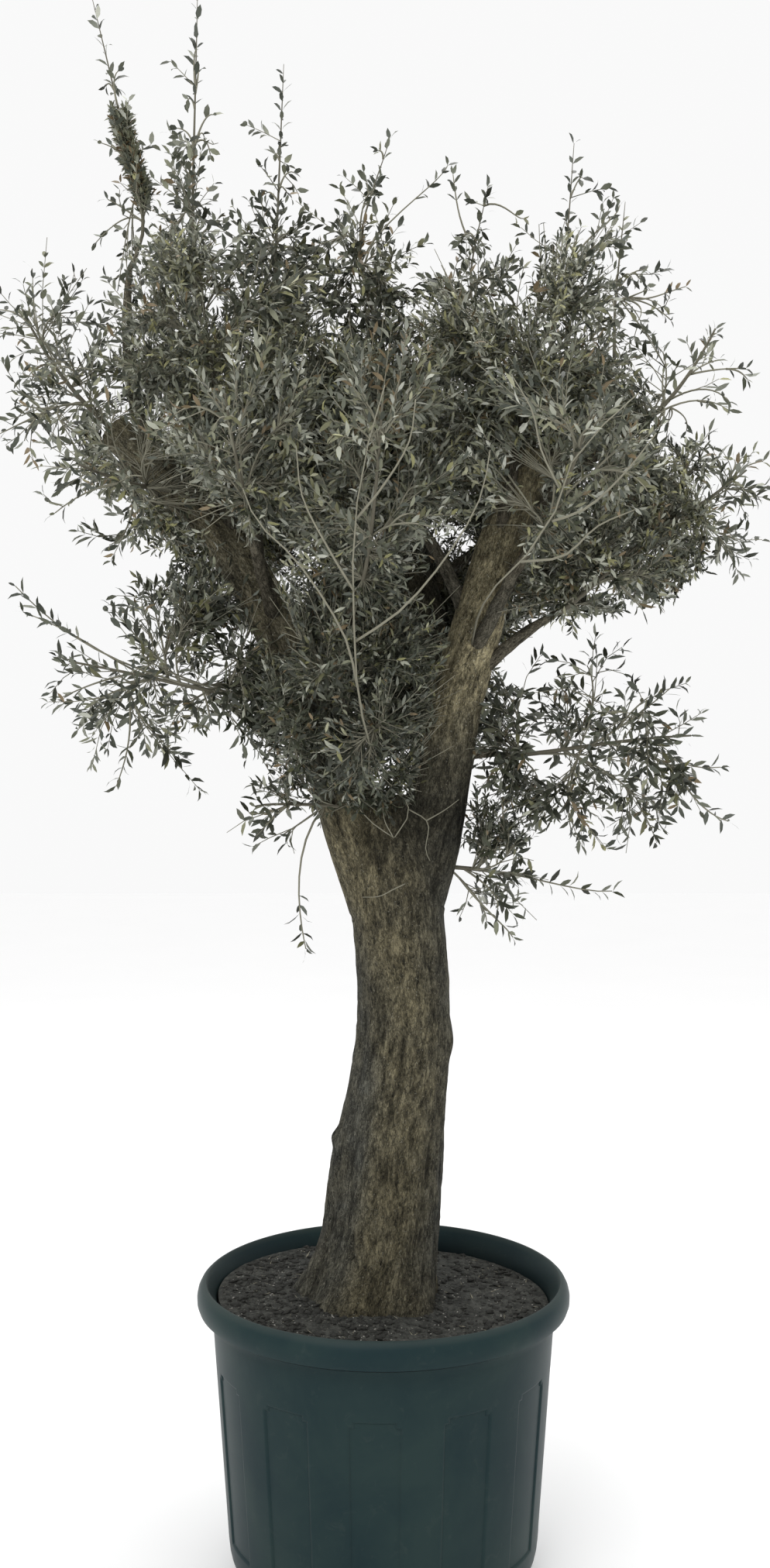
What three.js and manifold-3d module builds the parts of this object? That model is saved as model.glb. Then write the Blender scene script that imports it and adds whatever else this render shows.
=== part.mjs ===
// A potted olive tree: a moulded nursery pot full of soil, a leaning trunk that forks low down into
// three sawn boughs, thinner boughs that leave them, and masses of leafy twigs on the boughs' ends.
//
// Millimetres, +Z up. The origin is the centre of the pot's flat underside. The tree faces -Y.

import * as THREE from "three";
import { mergeVertices } from "three/addons/utils/BufferGeometryUtils.js";
import Module from "manifold-3d";

const wasm = await Module();
wasm.setup();

const UP = new THREE.Vector3(0, 0, 1);
const vector = ([x, y, z]) => new THREE.Vector3(x, y, z);

// ---------------------------------------------------------------- driving dimensions

const GAP = 0.3; // clearance between pieces that carry each other

const POT = {
  height: 647,
  lipRadius: 425, // outside of the rolled lip
  lipHeight: 62,
  topRadius: 391, // outside of the wall, under the lip
  bottomRadius: 349, // outside of the wall, above the rounded foot
  footRadius: 306,
  footHeight: 18,
  footRound: 48, // height of the rounded corner over the foot
  wall: 13,
  floor: 12,
  sides: 36,
};

const PANEL = { count: 12, width: 112, bottom: 92, top: 478, depth: 4, turn: -2.5 }; // turn in degrees

const SOIL = { level: 604, flatRadius: 250, edgeDrop: 14, sides: POT.sides / 2 };

// The trunk's axis and radius, from the soil up to the crotch of its fork.
const TRUNK = [
  { at: [-38, 0, 604], radius: 134 },
  { at: [-9, 0, 726], radius: 133 },
  { at: [10, 0, 904], radius: 127 },
  { at: [34, 0, 1081], radius: 115 },
  { at: [49, 0, 1240], radius: 107 },
  { at: [42, 0, 1400], radius: 105 },
  { at: [26, 0, 1560], radius: 107 },
  { at: [14, 0, 1680], radius: 92 },
  { at: [10, 0, 1752], radius: 50 },
];
const FLARE = { height: 150, reach: 34, toes: 5, turn: 2.75 }; // toes of the root flare
const TRUNK_SHAPE = { sides: 16, steps: 12 };

// The three sawn boughs. Each starts inside the trunk, and leaves it at the share `collar`.
const BOUGHS = {
  left: {
    axis: [
      [-8, 5, 1500],
      [-58, 5, 1640],
      [-106, 10, 1790],
      [-185, 20, 2010],
      [-285, 40, 2210],
      [-400, 60, 2390],
      [-520, 70, 2510],
      [-650, 80, 2630],
    ],
    radii: [76, 42],
    collar: 0.21,
    sides: 11,
  },
  right: {
    axis: [
      [64, 0, 1500],
      [106, 0, 1640],
      [136, 0, 1800],
      [165, 0, 1960],
      [212, 0, 2120],
      [260, 0, 2290],
      [306, 0, 2420],
      [350, 0, 2555],
    ],
    radii: [76, 49],
    collar: 0.27,
    sides: 11,
  },
  back: {
    axis: [
      [50, 30, 1500],
      [104, 118, 1660],
      [138, 205, 1880],
      [120, 290, 2160],
      [70, 370, 2440],
      [40, 430, 2640],
    ],
    radii: [62, 36],
    collar: 0.24,
    sides: 9,
  },
};

// The masses of foliage: centre, half sizes, what carries them, where along it (0 to 1; 1 is the
// sawn tip), and how strongly the stem inside turns upwards.
const MASSES = {
  far_left: { at: [-770, 0, 2725], size: [165, 230, 265], on: "left", along: 1, rise: 1.0 },
  spire_left: { at: [-641, 50, 3290], size: [112, 130, 390], on: "left", along: 0.905, rise: 3 },
  crest_left: { at: [-432, -50, 3240], size: [122, 140, 415], on: "left", along: 0.78, rise: 3 },
  crest_mid_left: { at: [-262, 120, 3170], size: [122, 140, 330], on: "left", along: 0.59, rise: 3 },
  crown_left: { at: [-400, -150, 2770], size: [260, 260, 225], on: "left", along: 0.67, rise: 1.2 },
  shoulder_left: { at: [-590, -130, 2450], size: [220, 210, 200], on: "left", along: 0.84, rise: 0.2 },
  lower_left: { at: [-490, 0, 2020], size: [310, 270, 265], on: "left", along: 0.37, rise: 0.0 },
  knot_left: { at: [-252, -130, 1735], size: [95, 110, 125], on: "trunk", along: 0.97, rise: -0.4 },
  front_left: { at: [-300, -440, 2410], size: [210, 200, 210], on: "left", along: 0.51, rise: 0.7 },
  back_left: { at: [-480, 440, 2600], size: [330, 270, 310], on: "left", along: 0.72, rise: 0.6 },
  heart: { at: [-95, -230, 1930], size: [205, 180, 260], on: "trunk", along: 0.93, rise: 1.4 },
  front_centre: { at: [-20, -430, 2290], size: [230, 200, 320], on: "left", along: 0.3, rise: 1.6 },
  centre: { at: [-50, 0, 2600], size: [230, 240, 240], on: "right", along: 0.58, rise: 1.0 },
  crest_centre: { at: [-36, -60, 2985], size: [150, 180, 320], on: "back", along: 0.8, rise: 2.5 },
  back_centre: { at: [10, 560, 2830], size: [290, 250, 310], on: "back", along: 1, rise: 1.2 },
  back_low: { at: [90, 480, 2150], size: [280, 230, 260], on: "back", along: 0.51, rise: 0.3 },
  crest_mid_right: { at: [205, 100, 3010], size: [152, 170, 300], on: "right", along: 0.88, rise: 2.5 },
  crest_right: { at: [452, -50, 3000], size: [150, 170, 310], on: "right", along: 1, rise: 2.5 },
  crest_far_right: { at: [640, 150, 2930], size: [145, 160, 250], on: "right", along: 0.85, rise: 2 },
  crown_right: { at: [330, -190, 2700], size: [230, 230, 215], on: "right", along: 0.72, rise: 1.2 },
  shoulder_right: { at: [715, 0, 2720], size: [190, 220, 210], on: "right", along: 0.78, rise: 0.8 },
  far_right: { at: [735, -30, 2420], size: [190, 220, 210], on: "right", along: 0.65, rise: 0.3 },
  front_right: { at: [380, -440, 2380], size: [220, 200, 210], on: "right", along: 0.51, rise: 0.7 },
  under_right: { at: [500, -120, 2250], size: [200, 200, 160], on: "right", along: 0.45, rise: 0.0 },
  back_right: { at: [500, 440, 2600], size: [320, 270, 310], on: "back", along: 0.67, rise: 0.6 },
  lower_right: { at: [490, 0, 1880], size: [290, 260, 275], on: "right", along: 0.31, rise: -0.1 },
  knot_right: { at: [250, -10, 1580], size: [110, 120, 185], on: "trunk", along: 0.86, rise: -0.3 },
};

const BOUGH_STEPS = 8;
const SIDE_BOUGH = {
  root: 21, // radius of a long one at its parent
  tip: 10, // radius where it enters its mass
  least: 45, // length outside its parent
  into: 0.82, // how far out in its mass it ends, where 1 is the mass's surface
  sides: 5,
  steps: 3,
};
const TWIG = {
  room: 57, // a mass has one twig for each such share of its least half size
  clear: 6, // from every limb
  stem: [9, 5], // radii from foot to tip
  side: [6, 3],
  sides: 3,
  stemSteps: 6,
  steps: 2,
};
const LEAF = {
  least: 190, // length in a mass of half size 100
  share: 0.35, // longer in a larger mass by this share of its half size
  width: 0.4, // of the length
  thickness: 0.04,
  shrink: [1, 0.82, 0.66, 0.52],
  spread: 0.85, // how far a pair stands off its twig
  pairRoom: 70, // a mass has a pair on its stem for each such share of its half height
  onTwig: [0.3, 0.7],
};
const SPACE_MARGIN = 3; // from the border between two masses
const FIRST_SEED = 1000;
const SEED_STEP = 37;

const COLOURS = {
  pot: { color: 0x22302f, roughness: 0.55, metalness: 0 },
  soil: { color: 0x33291f, roughness: 0.95, metalness: 0 },
  bark: { color: 0x5a4f3c, roughness: 0.9, metalness: 0 },
  foliage: { color: 0x4c5340, roughness: 0.6, metalness: 0 },
};

// ---------------------------------------------------------------- solids

// A three.js geometry as a solid for cutting and joining.
function solidOf(geometry) {
  const bare = geometry.clone();
  bare.deleteAttribute("normal");
  bare.deleteAttribute("uv");
  const merged = mergeVertices(bare, 1e-4);
  return new wasm.Manifold(
    new wasm.Mesh({
      numProp: 3,
      vertProperties: merged.attributes.position.array,
      triVerts: new Uint32Array(merged.index.array),
    }),
  );
}

// The largest body of a solid, as a three.js geometry. Scraps go, and sealed hollows are filled.
function geometryOf(solid) {
  const bodies = solid.simplify(0.02).decompose().sort((a, b) => b.volume() - a.volume());
  const mesh = bodies[0].getMesh();
  const geometry = new THREE.BufferGeometry();
  geometry.setAttribute("position", new THREE.BufferAttribute(mesh.vertProperties, 3));
  geometry.setIndex(new THREE.BufferAttribute(mesh.triVerts, 1));
  geometry.computeVertexNormals();
  return geometry;
}

// ---------------------------------------------------------------- limbs

// A limb is a round or three-sided rod that follows a curve. radiusAt gives its radius from the
// share of its length and the angle round it. Its two ends are flat.
function limbGeometry(curve, radiusAt, sides, steps) {
  const rod = new THREE.CylinderGeometry(1, 1, 1, sides, steps);
  const frames = curve.computeFrenetFrames(steps);
  const position = rod.attributes.position;
  for (let i = 0; i < position.count; i += 1) {
    const step = Math.round((position.getY(i) + 0.5) * steps);
    const share = step / steps;
    const angle = Math.atan2(position.getZ(i), position.getX(i));
    const onAxis = Math.hypot(position.getX(i), position.getZ(i)) < 0.5;
    const radius = onAxis ? 0 : radiusAt(share, angle);
    const place = curve
      .getPointAt(share)
      .addScaledVector(frames.normals[step], radius * Math.cos(angle))
      .addScaledVector(frames.binormals[step], -radius * Math.sin(angle));
    position.setXYZ(i, place.x, place.y, place.z);
  }
  return rod;
}

const tapered = (from, to, extra = 0) => (share) => from + (to - from) * share + extra;

// A point on the axis of the rod that has so many straight steps along a curve.
function pointOnRod(curve, steps, share) {
  const step = Math.min(steps - 1, Math.floor(share * steps));
  const [from, to] = [step, step + 1].map((i) => curve.getPointAt(i / steps));
  return from.lerp(to, share * steps - step);
}

// A row of thick lines along a limb, to keep leaves and twigs clear of it.
function guardOf(curve, radiusAt, steps) {
  return Array.from({ length: steps }, (_, i) => ({
    line: new THREE.Line3(curve.getPointAt(i / steps), curve.getPointAt((i + 1) / steps)),
    radius: radiusAt((i + 0.5) / steps, 0),
  }));
}

// Whether a rod from a to b, as thick as `around`, meets any of the guards.
function meets(guards, a, b, around) {
  const rod = new THREE.Line3(a, b);
  return guards.some(({ line, radius }) => rod.distanceSqToLine3(line) < (radius + around) ** 2);
}

// ---------------------------------------------------------------- pot and soil

function wallRadiusAt(z) {
  const share = (z - POT.footRound) / (POT.height - POT.lipHeight - POT.footRound);
  return POT.bottomRadius + (POT.topRadius - POT.bottomRadius) * share;
}

function potGeometry() {
  const { height, lipRadius, lipHeight, footRadius, footHeight, footRound, wall, floor } = POT;
  const under = height - lipHeight;
  const profile = [
    [0, 0],
    [footRadius, 0],
    [footRadius, footHeight],
    [footRadius + 22, footHeight + 2],
    [POT.bottomRadius - 8, footRound * 0.68],
    [POT.bottomRadius, footRound * 1.25],
    [POT.topRadius, under],
    [lipRadius - 9, under + 5],
    [lipRadius, under + 20],
    [lipRadius, under + 48],
    [lipRadius - 13, height],
    [lipRadius - 25, height],
    [POT.topRadius - wall, under - 20],
    [POT.bottomRadius - wall, footRound * 1.25],
    [footRadius - wall * 0.4, floor],
    [0, floor],
  ].map(([x, y]) => new THREE.Vector2(x, y));
  const body = new THREE.LatheGeometry(profile, POT.sides);
  body.rotateX(Math.PI / 2);

  // The flat panels sunk into the wall, each cut by a block that leans as the wall does.
  let pot = solidOf(body);
  const tall = PANEL.top - PANEL.bottom;
  const middle = (PANEL.top + PANEL.bottom) / 2;
  const lean = Math.atan((wallRadiusAt(PANEL.top) - wallRadiusAt(PANEL.bottom)) / tall);
  const deep = 40;
  const chord = Math.sqrt(wallRadiusAt(middle) ** 2 - (PANEL.width / 2) ** 2);
  for (let i = 0; i < PANEL.count; i += 1) {
    const block = new THREE.BoxGeometry(deep, PANEL.width, tall);
    block.translate(deep / 2, 0, 0);
    block.rotateY(lean);
    block.translate(chord - PANEL.depth, 0, middle);
    block.rotateZ(THREE.MathUtils.degToRad((360 * i) / PANEL.count + PANEL.turn));
    pot = pot.subtract(solidOf(block));
  }
  return geometryOf(pot);
}

function soilGeometry() {
  const { wall, floor, footRadius, footRound, lipHeight, height } = POT;
  const { level, flatRadius, edgeDrop } = SOIL;
  const clear = 1; // from the pot's wall
  const under = height - lipHeight;
  const profile = [
    [0, floor + GAP],
    [footRadius - wall * 0.4 - clear, floor + GAP],
    [POT.bottomRadius - wall - clear, footRound * 1.25],
    [POT.topRadius - wall - clear, under - 20],
    [POT.topRadius - wall - clear + 2, level - edgeDrop],
    [flatRadius, level],
    [0, level],
  ].map(([x, y]) => new THREE.Vector2(x, y));
  const soil = new THREE.LatheGeometry(profile, SOIL.sides);
  soil.rotateX(Math.PI / 2);
  return soil;
}

// ---------------------------------------------------------------- trunk and boughs

const trunkCurve = new THREE.CatmullRomCurve3(TRUNK.map(({ at }) => vector(at)));

// The trunk's radius: its taper, with toes that run out at the soil and shallow ribs in the bark.
function trunkRadius(extra) {
  return (share, angle) => {
    const { z } = trunkCurve.getPointAt(share);
    const i = Math.max(1, TRUNK.findIndex(({ at }) => at[2] >= z - 1e-6));
    const [low, high] = [TRUNK[i - 1], TRUNK[i]];
    const along = (z - low.at[2]) / (high.at[2] - low.at[2]);
    const plain = low.radius + (high.radius - low.radius) * along;
    const flare = FLARE.reach * Math.max(0, 1 - (z - SOIL.level) / FLARE.height) ** 2;
    const toe = 0.95 + 0.45 * Math.cos(FLARE.toes * angle + FLARE.turn);
    const ribs = 3 * Math.cos(3 * angle + z / 500) + 2 * Math.cos(7 * angle - z / 400);
    return plain + flare * toe + ribs + extra;
  };
}

for (const bough of Object.values(BOUGHS)) {
  bough.curve = new THREE.CatmullRomCurve3(bough.axis.map(vector));
  bough.radiusAt = tapered(...bough.radii);
}

// A sawn bough in two: its foot, which grows out of the trunk, and the rest above a square cut.
function boughParts(bough, extra = 0) {
  const { curve, radii, collar, sides } = bough;
  const whole = solidOf(limbGeometry(curve, tapered(...radii, extra), sides, BOUGH_STEPS));
  const grain = curve.getTangentAt(collar);
  const cut = grain.dot(curve.getPointAt(collar));
  const foot = whole.trimByPlane(grain.clone().negate().toArray(), -cut);
  const rest = whole.trimByPlane(grain.toArray(), cut + GAP);
  return { foot, rest };
}

// The trunk up to its fork, with the feet of the boughs. extra makes it fatter.
function trunkSolid(extra = 0) {
  const stem = limbGeometry(trunkCurve, trunkRadius(extra), TRUNK_SHAPE.sides, TRUNK_SHAPE.steps);
  const feet = Object.values(BOUGHS).map((bough) => boughParts(bough, extra).foot);
  return wasm.Manifold.union([solidOf(stem), ...feet]).trimByPlane([0, 0, 1], SOIL.level + GAP);
}

const fatTrunk = trunkSolid(GAP + 0.1);
const limbs = {}; // by name: its curve, radius, geometry and guard

for (const [name, bough] of Object.entries(BOUGHS)) {
  const { curve, radiusAt } = bough;
  limbs[name] = {
    curve,
    radiusAt,
    geometry: geometryOf(boughParts(bough).rest),
    fat: boughParts(bough, GAP + 0.1).rest, // cuts the foot of what grows on it
    guard: guardOf(curve, radiusAt, BOUGH_STEPS),
  };
}

// ---------------------------------------------------------------- the masses' spaces

// How far out a point lies in a mass: 0 at its centre, 1 on its surface.
function depthIn(mass, point) {
  const away = point.clone().sub(vector(mass.at)).divide(vector(mass.size));
  return away.length();
}

// The plane between two masses, where both are equally far out, facing from a to b.
function borderBetween(a, b) {
  const from = vector(a.at);
  const across = vector(b.at).sub(from);
  const reachA = 1 / across.clone().divide(vector(a.size)).length();
  const reachB = 1 / across.clone().divide(vector(b.size)).length();
  const point = from.clone().addScaledVector(across, reachA / (reachA + reachB));
  const outOfA = point.clone().sub(from).divide(vector(a.size)).divide(vector(a.size));
  const intoB = vector(b.at).sub(point).divide(vector(b.size)).divide(vector(b.size));
  const normal = outOfA.normalize().add(intoB.normalize()).normalize();
  return { normal, offset: normal.dot(point) };
}

for (const mass of Object.values(MASSES)) {
  mass.borders = Object.values(MASSES)
    .filter((other) => other !== mass)
    .map((other) => borderBetween(mass, other));
}

const inSpace = (mass, point) =>
  depthIn(mass, point) <= 1 &&
  mass.borders.every(({ normal, offset }) => normal.dot(point) <= offset - SPACE_MARGIN);

// ---------------------------------------------------------------- side boughs

// A thin bough leaves a sawn bough's side, bends upwards, and ends just inside its mass.
function sideBough(mass) {
  const parent = limbs[mass.on];
  const start = parent.curve.getPointAt(mass.along);
  const grain = parent.curve.getTangentAt(mass.along);
  const centre = vector(mass.at);
  const across = centre.clone().sub(start);
  const depthAt = (share) => depthIn(mass, start.clone().addScaledVector(across, share));
  let share = (parent.radiusAt(mass.along) + SIDE_BOUGH.least) / across.length();
  while (depthAt(share) > SIDE_BOUGH.into) share += 0.02;
  const end = start.clone().addScaledVector(across, share);
  const bend = start
    .clone()
    .addScaledVector(across, share * 0.45)
    .addScaledVector(grain, across.length() * share * 0.16);
  const curve = new THREE.QuadraticBezierCurve3(start, bend, end);
  const root = SIDE_BOUGH.root * (0.75 + 0.25 * Math.min(1, across.length() / 500));
  const radiusAt = tapered(root, SIDE_BOUGH.tip);
  const rod = solidOf(limbGeometry(curve, radiusAt, SIDE_BOUGH.sides, SIDE_BOUGH.steps));
  return {
    curve,
    radiusAt,
    geometry: geometryOf(rod.subtract(parent.fat)),
    guard: guardOf(curve, radiusAt, SIDE_BOUGH.steps),
  };
}

for (const [name, mass] of Object.entries(MASSES)) {
  if (mass.on !== "trunk" && mass.along < 1) {
    mass.bough = `bough_to_${name}`;
    limbs[mass.bough] = sideBough(mass);
  }
}

const trunkGuard = guardOf(trunkCurve, (share) => trunkRadius(14)(share, 0), TRUNK_SHAPE.steps);
const woodGuards = [...trunkGuard, ...Object.values(limbs).flatMap((limb) => limb.guard)];

// ---------------------------------------------------------------- twigs and leaves

// A small repeatable random generator, so that the tree grows the same way every time.
function randomFrom(seed) {
  let state = seed >>> 0;
  return () => {
    state = (Math.imul(state, 1664525) + 1013904223) >>> 0;
    return state / 4294967296;
  };
}

// Directions spread evenly over a sphere by the golden angle, from the top down.
function evenDirections(count, turn) {
  const golden = Math.PI * (3 - Math.sqrt(5));
  return Array.from({ length: count }, (_, i) => {
    const z = 1 - (2 * i + 1) / count;
    const flat = Math.sqrt(1 - z * z);
    const angle = golden * i + turn;
    return new THREE.Vector3(flat * Math.cos(angle), flat * Math.sin(angle), z);
  });
}

// The furthest point of a mass's space from its centre, in the direction of `across`, which runs
// to the surface of the mass.
function furthest(mass, across) {
  const centre = vector(mass.at);
  const shares = mass.borders
    .filter(({ normal }) => normal.dot(across) > 0)
    .map(({ normal, offset }) => (offset - SPACE_MARGIN - normal.dot(centre)) / normal.dot(across));
  return centre.addScaledVector(across, 0.99 * Math.min(1, ...shares));
}

// The point `short` of the far end of the line from foot to far.
const shortOf = (foot, far, short) => far.clone().lerp(foot, Math.min(0.7, short / far.distanceTo(foot)));

// The stem of a mass, from its bough's tip, or out of the trunk's side, through its middle.
function stemOf(mass, leafLength) {
  const centre = vector(mass.at);
  const carrier = limbs[mass.bough ?? mass.on];
  const start = carrier ? carrier.curve.getPointAt(1) : trunkCurve.getPointAt(mass.along);
  const grain = carrier ? carrier.curve.getTangentAt(1) : centre.clone().sub(start).normalize();
  if (carrier) start.addScaledVector(grain, GAP);
  const aim = centre.clone().sub(start).normalize().addScaledVector(UP, mass.rise).normalize();
  aim.divideScalar(aim.clone().divide(vector(mass.size)).length());
  const end = shortOf(centre, furthest(mass, aim), leafLength * 0.8);
  const lead = start.clone().addScaledVector(grain, centre.distanceTo(start) * 0.4);
  return new THREE.CubicBezierCurve3(start, lead, centre, end);
}

// The share of a stem's length where a twig to `far` leaves it: a little before the nearest point.
function leavingShare(stem, far) {
  const shares = Array.from({ length: 9 }, (_, i) => 0.12 + 0.09 * i);
  const gaps = shares.map((share) => stem.getPointAt(share).distanceTo(far));
  return Math.max(0.12, shares[gaps.indexOf(Math.min(...gaps))] - 0.14);
}

// A leaf: a thin folded blade, widest at its middle, with its foot at `foot` and its tip `along`.
function leafGeometry(foot, along, across, length) {
  const leaf = new THREE.TetrahedronGeometry(Math.sqrt(3)); // corners at all signs of (1, 1, 1)
  leaf.rotateZ(Math.PI / 4);
  const half = new THREE.Vector3(length, length * LEAF.width, length * LEAF.thickness).divideScalar(2);
  leaf.scale(half.x / Math.SQRT2, half.y / Math.SQRT2, half.z);
  leaf.translate(half.x, 0, half.z);
  const face = along.clone().cross(across).normalize();
  const side = face.clone().cross(along).normalize();
  leaf.applyMatrix4(new THREE.Matrix4().makeBasis(along, side, face).setPosition(foot));
  return leaf;
}

// The twigs of one mass, each from its foot on the stem to a point near the mass's surface. A twig
// that would leave the mass's space or touch a limb is left out.
function twigsOf(mass, stem, leafLength, turn) {
  const twigs = [];
  const count = Math.round(Math.min(...mass.size) / TWIG.room);
  for (const direction of evenDirections(count, turn)) {
    const far = furthest(mass, direction.multiply(vector(mass.size)));
    const leave = leavingShare(stem, far);
    const foot = pointOnRod(stem, TWIG.stemSteps, leave);
    const tip = shortOf(foot, far, Math.min(leafLength * 0.85, far.distanceTo(foot) * 0.55));
    const whole = tip.distanceTo(foot);
    const bend = foot.clone().lerp(tip, 0.45).addScaledVector(stem.getTangentAt(leave), whole * 0.15);
    const curve = new THREE.QuadraticBezierCurve3(foot, bend, tip);
    const [near, middle] = [0.3, 0.65].map((share) => curve.getPointAt(share));
    if (whole < leafLength * 0.3 || ![middle, tip].every((point) => inSpace(mass, point))) continue;
    if (meets(woodGuards, near, middle, TWIG.clear)) continue;
    if (meets(woodGuards, middle, tip, TWIG.clear)) continue;
    twigs.push({ curve, radii: TWIG.side, steps: TWIG.steps, stations: LEAF.onTwig });
  }
  return twigs;
}

// Grows one mass: its stem, its twigs, and their leaves in pairs with one at each tip. A leaf that
// would leave the mass's space, or meet a limb, twig or leaf, is tried smaller and then left out.
function massGeometry(mass, seed) {
  const random = randomFrom(seed);
  const length = LEAF.least + LEAF.share * (Math.min(...mass.size) - 100);
  const stem = stemOf(mass, length);
  const pairs = Math.round(mass.size[2] / LEAF.pairRoom);
  const onStem = Array.from({ length: pairs }, (_, i) => 0.2 + (0.6 * (i + 0.5)) / pairs);
  const rods = [
    { curve: stem, radii: TWIG.stem, steps: TWIG.stemSteps, stations: onStem },
    ...twigsOf(mass, stem, length, random() * Math.PI * 2),
  ];
  const taken = [...woodGuards, ...rods.flatMap((rod) => guardOf(rod.curve, () => 2, rod.steps))];
  const parts = rods.map(({ curve, radii, steps }) =>
    solidOf(limbGeometry(curve, tapered(...radii), TWIG.sides, steps)),
  );
  if (mass.on === "trunk") parts[0] = parts[0].subtract(fatTrunk);

  const addLeaf = (foot, along, across) => {
    const full = length * (0.9 + 0.25 * random());
    for (const long of LEAF.shrink.map((share) => full * share)) {
      const half = (long * LEAF.width) / 2;
      const tip = foot.clone().addScaledVector(along, long);
      const [near, middle] = [0.3, 0.5].map((share) => foot.clone().lerp(tip, share));
      const corners = [-half, half].map((side) => middle.clone().addScaledVector(across, side));
      if (![foot, tip, ...corners].every((point) => inSpace(mass, point))) continue;
      if (meets(taken, near, tip, half * 0.5)) continue;
      parts.push(solidOf(leafGeometry(foot, along, across, long)));
      taken.push({ line: new THREE.Line3(near, tip), radius: half * 0.5 });
      return;
    }
  };

  for (const { curve, steps, stations } of rods) {
    const turn = random() * Math.PI;
    const last = curve.getTangentAt(1);
    const flat = new THREE.Vector3(-last.y, last.x, 0.01).normalize().applyAxisAngle(last, turn);
    addLeaf(pointOnRod(curve, steps, 0.94), last, flat);
    stations.forEach((share, i) => {
      const foot = pointOnRod(curve, steps, share);
      const grain = curve.getTangentAt(share);
      const round = new THREE.Vector3(-grain.y, grain.x, 0.01).normalize();
      round.applyAxisAngle(grain, turn + (i * Math.PI) / 2);
      for (const way of [1, -1]) {
        const along = grain.clone().addScaledVector(round, way * LEAF.spread).normalize();
        addLeaf(foot, along, grain.clone().cross(round).normalize());
      }
    });
  }
  return geometryOf(wasm.Manifold.union(parts));
}

// ---------------------------------------------------------------- the tree

const tree = new THREE.Group();

function add(name, geometry, look) {
  const mesh = new THREE.Mesh(geometry, new THREE.MeshStandardMaterial(COLOURS[look]));
  mesh.name = name;
  tree.add(mesh);
}

add("pot", potGeometry(), "pot");
add("soil", soilGeometry(), "soil");
add("trunk", geometryOf(trunkSolid()), "bark");
for (const [name, limb] of Object.entries(limbs)) {
  add(name in BOUGHS ? `bough_${name}` : name, limb.geometry, "bark");
}
Object.entries(MASSES).forEach(([name, mass], i) => {
  add(`foliage_${name}`, massGeometry(mass, FIRST_SEED + SEED_STEP * i), "foliage");
});

export default tree;
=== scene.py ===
"""Looks of a potted olive tree: a moulded nursery pot, its soil, a barked trunk that forks into
sawn boughs, and a crown of thin boughs, twigs and narrow leaves that grow on from them.

Metres, +Z up, the tree faces -Y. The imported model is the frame, and every piece rides on it.
"""

import math

import bpy
import numpy as np
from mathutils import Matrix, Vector


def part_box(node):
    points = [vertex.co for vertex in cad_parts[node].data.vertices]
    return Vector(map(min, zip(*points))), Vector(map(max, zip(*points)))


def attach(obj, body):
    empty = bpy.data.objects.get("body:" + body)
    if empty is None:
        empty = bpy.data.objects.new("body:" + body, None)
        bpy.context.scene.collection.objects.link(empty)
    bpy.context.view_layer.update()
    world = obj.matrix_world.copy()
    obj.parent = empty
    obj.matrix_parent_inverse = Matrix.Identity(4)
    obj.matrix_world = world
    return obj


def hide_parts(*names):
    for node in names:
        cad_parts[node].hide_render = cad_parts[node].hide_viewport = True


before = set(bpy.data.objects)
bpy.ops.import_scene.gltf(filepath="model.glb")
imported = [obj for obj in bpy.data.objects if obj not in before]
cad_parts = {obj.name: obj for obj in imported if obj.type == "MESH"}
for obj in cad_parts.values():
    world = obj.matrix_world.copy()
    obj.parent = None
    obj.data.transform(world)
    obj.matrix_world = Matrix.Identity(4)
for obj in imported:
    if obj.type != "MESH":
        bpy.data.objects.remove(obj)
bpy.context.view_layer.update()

MM = 0.001
UP = np.array([0.0, 0.0, 1.0])

# ---------------------------------------------------------------- sizes shared with the solids

POT_LOW, POT_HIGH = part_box("pot")
POT_HEIGHT = POT_HIGH.z
LIP_RADIUS = POT_HIGH.x
SOIL_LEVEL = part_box("soil")[1].z
LIP_HEIGHT = 62 * MM
TOP_RADIUS = 391 * MM  # outside of the wall, under the lip
BOTTOM_RADIUS = 349 * MM
FOOT_RADIUS = 306 * MM
FOOT_HEIGHT = 18 * MM
FOOT_ROUND = 48 * MM
WALL = 13 * MM
PANELS = 12
PANEL_BOTTOM, PANEL_TOP = 92 * MM, 478 * MM
PANEL_HALF = math.radians(9)
PANEL_TURN = math.radians(-2.5)
PANEL_CORNER = (30 * MM, math.radians(3.2))  # height and width of the cut at a panel's top corners
# Each step into a panel: its width, and how deep it goes.
PANEL_INSETS = ((2.5 * MM, 0), (2.5 * MM, -1.2 * MM), (2.5 * MM, -2.6 * MM))
SOIL_RADIUS = TOP_RADIUS - WALL - 0.5 * MM
SOIL_HEAP = 20 * MM  # how much higher the soil lies by the wall on the left
SOIL_DISH = 6 * MM  # how much lower it lies all round by the wall

# The trunk's axis and radius, from the soil up to the crotch of its fork.
TRUNK = (
    ((-38, 0, 604), 134),
    ((-9, 0, 726), 133),
    ((10, 0, 904), 127),
    ((34, 0, 1081), 115),
    ((49, 0, 1240), 107),
    ((42, 0, 1400), 105),
    ((26, 0, 1560), 107),
    ((14, 0, 1680), 92),
    ((10, 0, 1752), 50),
)
FLARE = {"height": 150, "reach": 34, "toes": 5, "turn": 2.75}

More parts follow.
